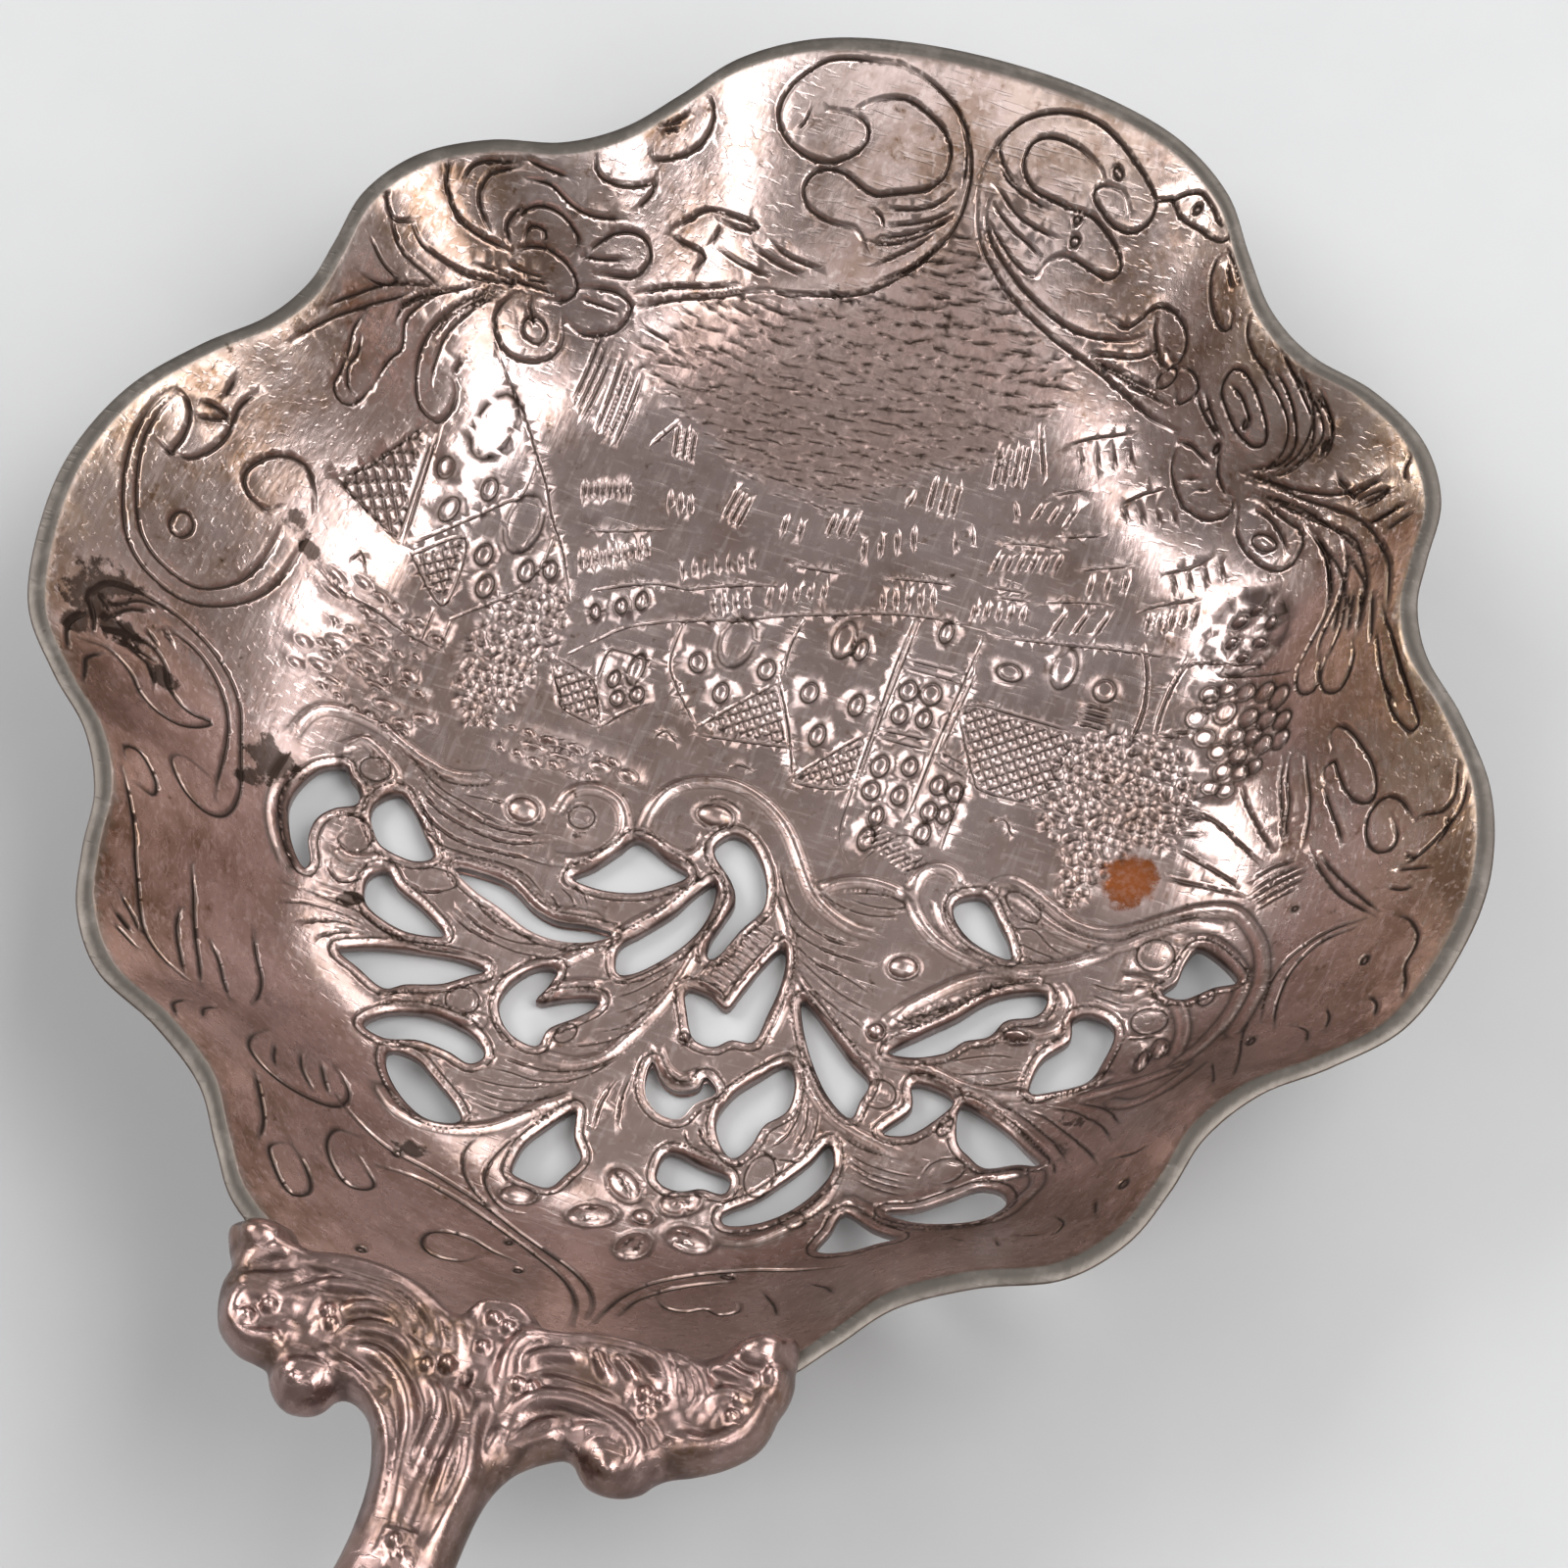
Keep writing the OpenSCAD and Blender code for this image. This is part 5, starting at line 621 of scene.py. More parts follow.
def reliefAt(points):
    # each groove sinks as exp(-1.6 q) with a thin lip on both sides, each ridge stands up as exp(-0.8 q^2), where q is
    # (gap/width)^2; ovals stand up as 1 - q^2 inside a groove; crossed areas are cut by two sets of parallel grooves;
    # beaded ones hold punched pits. Returns the height, the oxide in the cuts and a mask of the finely cut wedge.
    height, oxide = np.zeros(len(points)), np.zeros(len(points))
    for width, rise, line in strokes:
        near = boxed(points, line, 2.8 * width)
        if not len(near):
            continue
        gap, along = nearestOnLine(points[near], line)
        closed = np.allclose(line[0], line[-1])
        taper = 1 if closed else np.clip(np.minimum(along, 1 - along) * 7, 0.3, 1) ** 0.7
        q = (gap / width) ** 2
        if rise < 0:
            lip = chasing["lipShare"] * np.exp(-8 * (np.sqrt(q) - chasing["lipAt"]) ** 2)
            height[near] += taper * rise * (np.exp(-1.6 * q) - lip)
            oxide[near] = np.maximum(oxide[near], taper * np.exp(-1.9 * q))
        else:
            height[near] = np.maximum(height[near], taper * rise * np.exp(-0.8 * q ** 2))
            oxide[near] = np.maximum(oxide[near], 0.8 * np.exp(-5 * (np.sqrt(q) - 1.5) ** 2))
    for ovals, rise, cutDepth in ((raised, 0.3, 0.12), (windows, 0.07, 0.16), (cobbles, 0.17, 0.07),
                                  (ringTree, 0.02, 0.13)):
        for x, y, rx, ry, turn in ovals:
            near = boxed(points, np.array([[x, y]]), max(rx, ry) + 0.5)
            q = ovalRadius(points[near], x, y, rx, ry, turn)
            edge = (q - 1) * min(rx, ry) / chasing["ovalCut"]
            height[near] += rise * np.clip(1 - q ** 2, 0, 1) - cutDepth * np.exp(-edge ** 2)
            oxide[near] = np.maximum(oxide[near], min(1, cutDepth * 7) * np.exp(-edge ** 2))
    for corners in crossed:
        loop = np.array(corners, float)
        near = boxed(points, loop, 0)
        near = near[insideLoop(points[near], loop)]
        cuts = np.zeros(len(near))
        for angle in chasing["crossTurns"]:
            a = math.radians(angle)
            across = (points[near] @ (math.cos(a), math.sin(a))) / chasing["crossGap"]
            cuts = np.maximum(cuts, np.exp(-((np.abs(across - np.round(across))) / chasing["crossHalf"]) ** 2))
        height[near] -= chasing["crossDepth"] * cuts
        oxide[near] = np.maximum(oxide[near], 0.9 * cuts)
    for seed, corners in enumerate(beaded):
        loop = np.array(corners, float)
        near = boxed(points, loop, 0.3)
        for x, y in evenScatter(smoothLoop(loop, 6), chasing["pitGap"], seed):
            close = near[((points[near] - (x, y)) ** 2).sum(1) < 0.5]
            q = np.hypot(*(points[close] - (x, y)).T) / chasing["pitRadius"]
            height[close] += 0.05 * np.exp(-(q - 1.4) ** 2 * 3) - chasing["pitDepth"] * np.exp(-q ** 2)
            oxide[close] = np.maximum(oxide[close], 0.9 * np.exp(-q ** 2))
    loop = smoothLoop(wedge, 4)
    near = boxed(points, loop, 0)
    near = near[insideLoop(points[near], loop)]
    hatch = np.zeros(len(points))
    gap = nearestOnLine(points[near], np.concatenate([loop, loop[:1]]))[0]
    hatch[near] = np.clip(gap / chasing["wedgeFade"], 0, 1)
    return height, oxide, hatch


def fillFlat(loops, scatter):
    # Delaunay triangles over the scattered points, with the loops' edges kept; what lies outside or in a hole goes
    points = np.concatenate(loops + [scatter])
    edges, start = [], 0
    for loop in loops:
        i = np.arange(len(loop))
        edges += np.stack([start + i, start + (i + 1) % len(loop)], -1).tolist()
        start += len(loop)
    verts, _, faces, *_ = delaunay_2d_cdt(points.tolist(), edges, [], 0, 1e-6)
    verts, faces = np.array(verts), np.array(faces)
    centre = verts[faces].mean(1)
    keep = insideLoop(centre, loops[0])
    for hole in loops[1:]:
        near = boxed(centre, hole, 0)
        keep[near[insideLoop(centre[near], hole)]] = False
    faces = faces[keep]
    a, b, c = (verts[faces[:, k]] for k in range(3))
    turned = (b[:, 0] - a[:, 0]) * (c[:, 1] - a[:, 1]) < (b[:, 1] - a[:, 1]) * (c[:, 0] - a[:, 0])
    faces[turned] = faces[turned][:, ::-1]
    return verts, faces


def meshObject(name, verts, faces, material, values, cornerLoop=None, normals=None):
    # an edge whose two ends have the same corner number above 0 is left sharp; the rest is smooth; a normal of zero
    # length leaves that point to its faces
    mesh = bpy.data.meshes.new(name)
    mesh.from_pydata(verts.tolist(), [], faces.tolist())
    mesh.update()
    for key, data in values.items():
        layer = mesh.attributes.new(key, "FLOAT", "POINT")
        layer.data.foreach_set("value", np.asarray(data, np.float32))
    mesh.materials.append(material)
    mesh.polygons.foreach_set("use_smooth", np.ones(len(mesh.polygons), bool))
    if cornerLoop is not None:
        ends = np.zeros(len(mesh.edges) * 2, np.int32)
        mesh.edges.foreach_get("vertices", ends)
        first, second = cornerLoop[ends.reshape(-1, 2)].T
        sharp = mesh.attributes.new("sharp_edge", "BOOLEAN", "EDGE")
        sharp.data.foreach_set("value", (first > 0) & (first == second))
    if normals is not None:
        mesh.normals_split_custom_set_from_vertices(normals.tolist())
    piece = bpy.data.objects.new(name, mesh)
    bpy.context.scene.collection.objects.link(piece)
    return piece


def feed(tree, slot, item):
    # links a socket to an input, or sets the input to a plain value
    if isinstance(item, Value):
        tree.links.new(item.socket, slot)
    else:
        slot.default_value = item


class Value:
    # a shader socket that can be used in ordinary arithmetic
    def __init__(self, tree, socket):
        self.tree, self.socket = tree, socket

    def combine(self, other, operation, swapped=False):
        node = self.tree.nodes.new("ShaderNodeMath")
        node.operation = operation
        for slot, item in zip(node.inputs, (other, self) if swapped else (self, other)):
            feed(self.tree, slot, item)
        return Value(self.tree, node.outputs[0])

    def __add__(self, o): return self.combine(o, "ADD")
    def __radd__(self, o): return self.combine(o, "ADD")
    def __sub__(self, o): return self.combine(o, "SUBTRACT")
    def __rsub__(self, o): return self.combine(o, "SUBTRACT", True)
    def __mul__(self, o): return self.combine(o, "MULTIPLY")
    def __rmul__(self, o): return self.combine(o, "MULTIPLY")
    def __truediv__(self, o): return self.combine(o, "DIVIDE")

    def clamp(self):
        return self.combine(0.0, "MAXIMUM").combine(1.0, "MINIMUM")


class Shader:
    # builds one material; add() makes any node from its type, settings and socket values
    def __init__(self, name):
        self.material = bpy.data.materials.new(name)
        self.material.use_nodes = True
        self.tree = self.material.node_tree
        self.surface = self.tree.nodes["Principled BSDF"]
        self.objectPlace = self.add("ShaderNodeTexCoord", out="Object")

    def add(self, kind, settings=None, out=0, **values):
        node = self.tree.nodes.new(kind)
        for key, item in (settings or {}).items():
            setattr(node, key, item)
        for key, item in values.items():
            slot = node.inputs[int(key[1:])] if key[0] == "i" and key[1:].isdigit() else node.inputs[key]
            feed(self.tree, slot, item)
        return Value(self.tree, node.outputs[out])

    def noise(self, scale, detail, rough, place=None):
        # scale is in features per metre of the object
        return self.add("ShaderNodeTexNoise", out="Fac", Vector=place or self.objectPlace, Scale=scale, Detail=detail,
                        Roughness=rough)

    def stretched(self, *factors):
        # the place on the object, drawn out along the axes whose factor is small
        return self.add("ShaderNodeVectorMath", {"operation": "MULTIPLY"}, Vector=self.objectPlace, i1=factors)

    def mix(self, share, a, b):
        a, b = (c if isinstance(c, Value) else (*c, 1) for c in (a, b))
        return self.add("ShaderNodeMix", {"data_type": "RGBA"}, out=2, i0=share, i6=a, i7=b)

    def attribute(self, name):
        return self.add("ShaderNodeAttribute", {"attribute_name": name}, out="Fac")

    def finish(self, **values):
        for key, item in values.items():
            feed(self.tree, self.surface.inputs[key.replace("_", " ")], item)
        return self.material


def step(value, low, high):
    # 0 under low, 1 over high
    return ((value - low) / (high - low)).clamp()


# the wall colour is lighter than the clean metal: painted light that the walls reflect, laid on the walls' tarnish; the
# warm colour is partly tarnish and partly a painted reflection of the warm surroundings
bowlLook = {
    "clean": (0.38, 0.3, 0.288), "patina": (0.2, 0.14, 0.125), "wall": (0.52, 0.42, 0.405),
    "warmTintAndSheen": (0.38, 0.265, 0.175), "pierced": (0.4, 0.29, 0.265), "brown": (0.16, 0.095, 0.06),
    "scratch": (0.62, 0.52, 0.5), "dark": (0.03, 0.02, 0.016), "rim": (0.1, 0.088, 0.078),
    "worn": (0.16, 0.142, 0.128), "rust": (0.17, 0.053, 0.018), "roughness": 0.2,
}
handleLook = {
    **bowlLook, "clean": (0.33, 0.235, 0.22), "patina": (0.22, 0.15, 0.135), "scratch": (0.42, 0.31, 0.29),
    **dict.fromkeys(("wall", "warmTintAndSheen", "pierced"), (0.27, 0.18, 0.165)),
}


def tarnishedSilver(name, look):
    # clean metal under a cloudy tarnish, which is dark patina on the floor and up the walls turns lighter than the
    # clean metal, as painted light that the walls reflect, and warmer on the right wall and the near wall, partly
    # tarnish and partly a painted reflection of the warm surroundings; then brown patches, fine scratches, the rim's
    # own grey, rust, and dark oxide in the cuts and in the stains
    s = Shader(name)
    cloud, fine = s.noise(75, 5, 0.65), s.noise(430, 4, 0.65)
    grain, ragged = s.noise(2600, 2, 0.6), s.noise(950, 4, 0.65)
    lengthways, crossways = s.stretched(1, 0.12, 1), s.stretched(0.12, 1, 1)
    slanting = s.add("ShaderNodeVectorMath", {"operation": "ADD"}, Vector=crossways, i1=lengthways)
    oxide, rim, wall, spot, hatch, stain = (s.attribute(k) for k in ("oxide", "rim", "wall", "spot", "hatch", "stain"))
    right, along = (s.add("ShaderNodeSeparateXYZ", out=k, Vector=s.objectPlace) for k in "XY")
    tarnish = step(cloud + 0.3 * fine + 0.25 * wall, 0.55, 0.95)
    # golden-brown tint on the right and near walls, partly tarnish and partly a painted reflection of the warm
    # surroundings, with random warm patches everywhere
    warmTintAndSheenShare = ((step(right, -0.015, 0.03) + step(along, 0.066, 0.05)) * wall * (0.4 + fine)
              + step(s.noise(45, 2, 0.5), 0.5, 0.7) * 0.5).clamp()
    # up the walls the tarnish goes from the dark patina to the wall colour, which is painted light the walls reflect,
    # and on the right and near walls to the warm colour, partly a painted reflection
    base = s.mix(tarnish, look["clean"], s.mix(wall, look["patina"], s.mix(warmTintAndSheenShare, look["wall"], look["warmTintAndSheen"])))
    base = s.mix(step(s.noise(210, 3, 0.7), 0.55, 0.72) * 0.6, base, look["patina"])
    base = s.mix(step(along, 0.058, 0.036) * 0.65, base, look["pierced"])
    patches = step(s.noise(130, 4, 0.7) + 0.5 * fine, 0.68, 0.9) * (0.35 + 0.6 * wall)
    base = s.mix((patches + step(ragged + 0.5 * grain, 0.86, 1) * 0.5).clamp(), base, look["brown"])
    scratches = [step(s.noise(scale, 1, 0.5, place=place), 0.6, 0.68)
                 for scale, place in ((2600, lengthways), (3100, crossways), (1900, slanting))]
    base = s.mix(((scratches[0] + scratches[1] + scratches[2]) * 0.22).clamp(), base, look["scratch"])
    base = s.mix((hatch * 0.75).clamp(), base, look["patina"])
    base = s.mix(rim.clamp(), base, s.mix(step(fine, 0.5, 0.75), look["rim"], look["worn"]))
    base = s.mix((step(spot + 1.1 * (ragged - 0.5), 0.32, 0.5) * (0.6 + 0.7 * grain)).clamp(), base, look["rust"])
    cuts = (oxide * (1.05 + 0.35 * wall) + hatch * step(grain, 0.5, 0.8) * 0.4
            + 0.85 * step(stain + 2 * (ragged - 0.5), 0.36, 0.56))
    base = s.mix(cuts.clamp(), base, look["dark"])
    rough = look["roughness"] + 0.16 * fine + 0.25 * oxide + 0.2 * rim + 0.3 * spot + 0.1 * hatch + 0.25 * stain
    bump = s.add("ShaderNodeBump", out="Normal", Strength=0.35, Distance=0.00012,
                 Height=s.noise(700, 2, 0.6) + 0.3 * s.noise(3800, 2, 0.5, place=lengthways) + 0.2 * scratches[1]
                 + 0.5 * hatch * grain)
    return s.finish(Base_Color=base, Metallic=1.0, Roughness=rough, Normal=bump)


bowlSilver = tarnishedSilver("bowlSilver", bowlLook)
handleSilver = tarnishedSilver("handleSilver", handleLook)
print("materials made")

# Bowl: inner face, flat rim, outer face and the walls of the openings, as one closed mesh
rimCount = 640
bowlMeshing = {
    "holeStep": 0.28, "edgeRoll": 0.4, "edgeSink": 0.13, "besideHole": (-0.14, -0.32, 0.14, 0.32),
    "besideLine": (-0.7, 0.7, -1.4, 1.4, -2.1, 2.1), "besideBroad": (-3.1, 3.1), "broad": 0.16, "fineCell": 0.12,
    "freeCell": 0.4, "plainSpacing": 0.62, "lowSpacing": 1.05, "slopeSpan": 0.07,
}
rimTurn = np.linspace(0, 2 * math.pi, rimCount, endpoint=False)


def rimLoop(inset):
    r = rimReach(rimTurn) - inset
    return rimMiddle + np.stack([np.cos(rimTurn), np.sin(rimTurn)], -1) * r[:, None]


def evenLoop(points, step):
    line = smoothLine(np.concatenate([smoothLoop(points, 12), [points[0]]]), step)
    return line[:-1]


def gridIn(loop, spacing):
    # staggered grid inside a loop
    lo, hi = loop.min(0), loop.max(0)
    x, y = np.meshgrid(np.arange(lo[0], hi[0], spacing), np.arange(lo[1], hi[1], spacing * 0.866))
    x[1::2] += spacing / 2
    points = np.stack([x.ravel(), y.ravel()], -1)
    return points[insideLoop(points, loop)]


def thin(points, cell):
    # one point, the first, in each square cell
    return points[np.sort(np.unique(np.round(points / cell).astype(int), axis=0, return_index=True)[1])]


def clearOf(points, inset, holes, clear):
    # keeps what lies inside the rim's inner edge and outside the openings by at least the clearance
    d = points - rimMiddle
    points = points[np.hypot(*d.T) < rimReach(np.arctan2(d[:, 1], d[:, 0])) - inset - clear]
    for hole in holes:
        near = boxed(points, hole, clear)
        loop = np.concatenate([hole, hole[:1]])
        bad = (nearestOnLine(points[near], loop)[0] < clear) | insideLoop(points[near], hole)
        points = np.delete(points, near[bad], 0)
    return points


def chasedPoints(holes):
    # rows of points along every stroke and opening, finer grids in the textured areas, and a plain grid under all
    m = bowlMeshing
    rows = [line for _, _, line in strokes]
    for hole in holes:
        rows += [hole + sideways(hole, True) * k for k in m["besideHole"]]
    for share in m["besideLine"]:
        rows += [line + sideways(line) * share * width for width, _, line in strokes]
    for share in m["besideBroad"]:
        rows += [(line + sideways(line) * share * width)[::2] for width, _, line in strokes if width > m["broad"]]
    for ovals, count in ((windows, 5), (cobbles, 4), (ringTree, 5), (raised, 6)):
        for x, y, rx, ry, turn in ovals:
            u, r = np.meshgrid(np.arange(16) / 16 * 2 * math.pi, np.linspace(0.15, 1.35, count))
            rows.append(turnedAbout(x, y, (rx * r * np.cos(u)).ravel(), (ry * r * np.sin(u)).ravel(), turn))
    rows += [gridIn(np.array(c, float), 0.15) for c in crossed] + [gridIn(smoothLoop(c, 4), 0.17) for c in beaded]
    fine = thin(np.concatenate(rows), m["fineCell"])
    plain = np.concatenate([rimLoop(bowlShape["rimWidth"] + k)[::2] for k in (0.25, 0.6)]
                           + [gridIn(rimLoop(bowlShape["rimWidth"]), m["plainSpacing"])])
    used = {tuple(c) for c in np.round(fine / m["freeCell"]).astype(int).tolist()}
    free = [tuple(c) not in used for c in np.round(plain / m["freeCell"]).astype(int).tolist()]
    return np.concatenate([fine, plain[free]])


def edgeDrop(points, holes):
    # the sheet's edge rolls down into each opening as (1 - d/r)^2 over the distance r
    drop, r = np.zeros(len(points)), bowlMeshing["edgeRoll"]
    for hole in holes:
        near = boxed(points, hole, r)
        gap = nearestOnLine(points[near], np.concatenate([hole, hole[:1]]))[0]
        drop[near] = np.maximum(drop[near], np.clip(1 - gap / r, 0, 1) ** 2)
    return drop


def topHeight(points, holes):
    # the sheet with its chasing, which fades toward the edge of an opening
    relief, oxide, hatch = reliefAt(points)
    drop = edgeDrop(points, holes)
    high = sheetHeight(points[:, 0], points[:, 1], bowlShape["rimWidth"], bowlShape["depth"])
    return high + relief * (1 - 0.7 * drop) - bowlMeshing["edgeSink"] * drop, oxide, hatch, drop


def bowlMesh():
    holes = [evenLoop(o, bowlMeshing["holeStep"]) for o in openings]
    width = bowlShape["rimWidth"]
    top, topFaces = fillFlat([rimLoop(width)] + holes, clearOf(chasedPoints(holes), width, holes, 0.1))
    lowGrid = gridIn(rimLoop(0.0), bowlMeshing["lowSpacing"])
    low, lowFaces = fillFlat([rimLoop(0.0)] + holes, clearOf(lowGrid, 0, holes, 0.3))
    topZ, oxide, hatch, topDrop = topHeight(top, holes)
    lowDrop = edgeDrop(low, holes)
    # the slope of the inner face, from the heights a little to the left and right, behind and ahead
    span = bowlMeshing["slopeSpan"]
    left, right, behind, ahead = (setDown(np.c_[top + d, topHeight(top + d, holes)[0]])
                                  for d in ((-span, 0), (span, 0), (0, -span), (0, span)))
    slope = np.cross(right - left, ahead - behind)
    slope /= np.linalg.norm(slope, axis=1)[:, None]
    lowZ = sheetHeight(low[:, 0], low[:, 1], 0, bowlShape["depth"] + bowlShape["sheet"]) + 0.15 * lowDrop
    topZ[:rimCount] = -0.10
    lowZ[:rimCount] = -0.10
    ringIn, ringOut = rimLoop(width - 0.12), rimLoop(0.1)
    verts = np.concatenate([np.c_[top, topZ], np.c_[low, lowZ], np.c_[ringIn, np.zeros(rimCount)],
                            np.c_[ringOut, np.zeros(rimCount)]])
    nTop, nLow = len(top), len(low)
    i = np.arange(rimCount)
    n = (i + 1) % rimCount
    rows = [i, nTop + nLow + i, nTop + nLow + rimCount + i, nTop + i]
    faces = [topFaces, lowFaces[:, ::-1] + nTop]
    for a, b in zip(rows[:-1], rows[1:]):
        faces += [np.stack([a, b, b[n]], -1), np.stack([a, b[n], a[n]], -1)]
    corner = np.zeros(len(verts), int)
    for number, row in enumerate(rows):
        corner[row] = number + 1
    start = rimCount
    for number, hole in enumerate(holes):
        k = np.arange(len(hole))
        a, b = start + k, start + (k + 1) % len(hole)
        faces += [np.stack([a, b, nTop + b], -1), np.stack([a, nTop + b, nTop + a], -1)]
        corner[a], corner[nTop + a] = 10 + number, 50 + number
        start += len(hole)
    rim, dark, fine, stain = np.zeros((4, len(verts)))
    rim[nTop + nLow:] = 1
    rim[:rimCount] = rim[nTop:nTop + rimCount] = 0.5
    dark[:nTop], fine[:nTop] = np.maximum(oxide, 0.35 * topDrop), hatch
    share = np.clip(1 + verts[:, 2] / (bowlShape["depth"] - bowlShape["slope"] * verts[:, 1]), 0, 1)
    spot = np.exp(-(ovalRadius(verts[:, :2], 21.5, 7.3, 1.7, 1.9, 0)) ** 2 * 1.2)
    for oval in stains:
        stain = np.maximum(stain, np.exp(-ovalRadius(verts[:, :2], *oval) ** 2))
    values = {"oxide": dark, "rim": rim, "wall": share, "spot": spot, "hatch": fine, "stain": stain}
    normals = np.zeros(verts.shape)
    normals[:nTop] = slope
    normals[corner > 0] = 0
    return verts, np.concatenate(faces), values, corner, normals


verts, faces, values, corner, normals = bowlMesh()
bowl = meshObject("shellBowl", setDown(verts), faces, bowlSilver, values, corner, normals)
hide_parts("bowl")
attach(bowl, "root")
print("bowl made:", len(verts), "points,", len(faces), "faces")

# Handle: one closed surface over its plan, in the same millimetres. The bracket's cast relief is ridges and beads; the
# stem's height follows a smooth line down to the table, and past the photograph's edge it is plain
handleShape = {
    "spacing": 0.2, "wideSpacing": 0.42, "fineTo": -52, "edge": 0.2, "roll": 1.25, "plateTop": 1.35, "plateLow": 0.7,
    "stemTop": 2.1, "plateMiddle": 0.25, "stemFrom": 38.5, "stemOver": 6.5, "endFrom": 84, "endOver": 50,
    "sidesFrom": 42, "capFrom": 133, "capRoll": 4.5, "clear": 1.15,
    "insets": (0.02, 0.06, 0.13, 0.24, 0.38, 0.56, 0.78, 1.02),
    "path": [(37.0, 0.7), (44.0, 0.6), (54.0, 1.2), (68.0, 2.6), (84.0, 2.2), (100.0, -2.46), (114.0, -9.1),
             (127.0, -17.75), (137.0, -24.6)],
    "endHalf": 1.2,
}
handleOutline = [
    (-13.9, -33.6), (-13.2, -33.2), (-12.1, -33), (-11.1, -33.1), (-10.4, -33.7), (-9.6, -33.9), (-8.4, -33.6),
    (-7, -33.4), (-5.5, -33.4), (-4.2, -33.6), (-3, -34), (-2, -34.5), (-1.4, -34.6), (-1.1, -34), (-0.7, -33.4),
    (0.2, -33.1), (1.2, -33), (2.1, -33.4), (2.8, -33.9), (3.6, -33.9), (4.4, -33.7), (5.5, -33.3), (7, -33.1),
    (8.3, -33), (9.7, -32.8), (10.9, -32.8), (11.6, -32.3), (12.2, -31.4), (13.2, -30.6), (14.3, -30.3), (15.1, -30.4),
    (15.4, -31.2), (15.5, -32), (15.7, -32.8), (15.7, -33.7), (15.5, -34.6), (15.4, -35.6), (15.1, -36.5),
    (14.5, -37.3), (13.6, -38.1), (12.5, -38.8), (11.5, -39.3), (10.9, -39.8), (10.4, -40.5), (9.6, -41), (8.7, -41.2),
    (7.8, -41.1), (7.2, -40.7), (6.7, -40.2), (6.2, -40.1), (5.6, -40.4), (4.9, -40.9), (4.2, -41.6), (3.7, -42.5),
    (3.4, -43.5), (3.25, -44.6), (3.2, -46), (3.2, -48), (3.15, -52), (3.05, -58), (2.95, -66), (3.0, -76), (3.2, -88),
    (3.8, -100), (4.5, -111), (5.2, -121), (5.5, -128), (5.35, -132), (4.5, -135), (2.8, -136.6), (0, -137),
    (-2.8, -136.6), (-4.5, -135), (-5.35, -132), (-5.5, -128), (-5.2, -121), (-4.5, -111), (-3.8, -100), (-3.2, -88),
    (-3.0, -76), (-2.9, -66), (-2.8, -58), (-2.6, -52), (-2.3, -48.4), (-2.3, -46.2), (-2.5, -44.4), (-2.9, -43),
    (-3.5, -41.7), (-4.2, -41), (-5, -40.7), (-5.6, -40.9), (-6, -41.6), (-6.6, -42.1), (-7.6, -42.3), (-8.4, -42),
    (-9, -41.4), (-9.5, -40.6), (-10.2, -40.4), (-11.3, -40.2), (-12.5, -39.4), (-13.1, -38.3), (-13.4, -37),
    (-13.3, -36), (-13.9, -34.9), (-14.2, -34.1)]
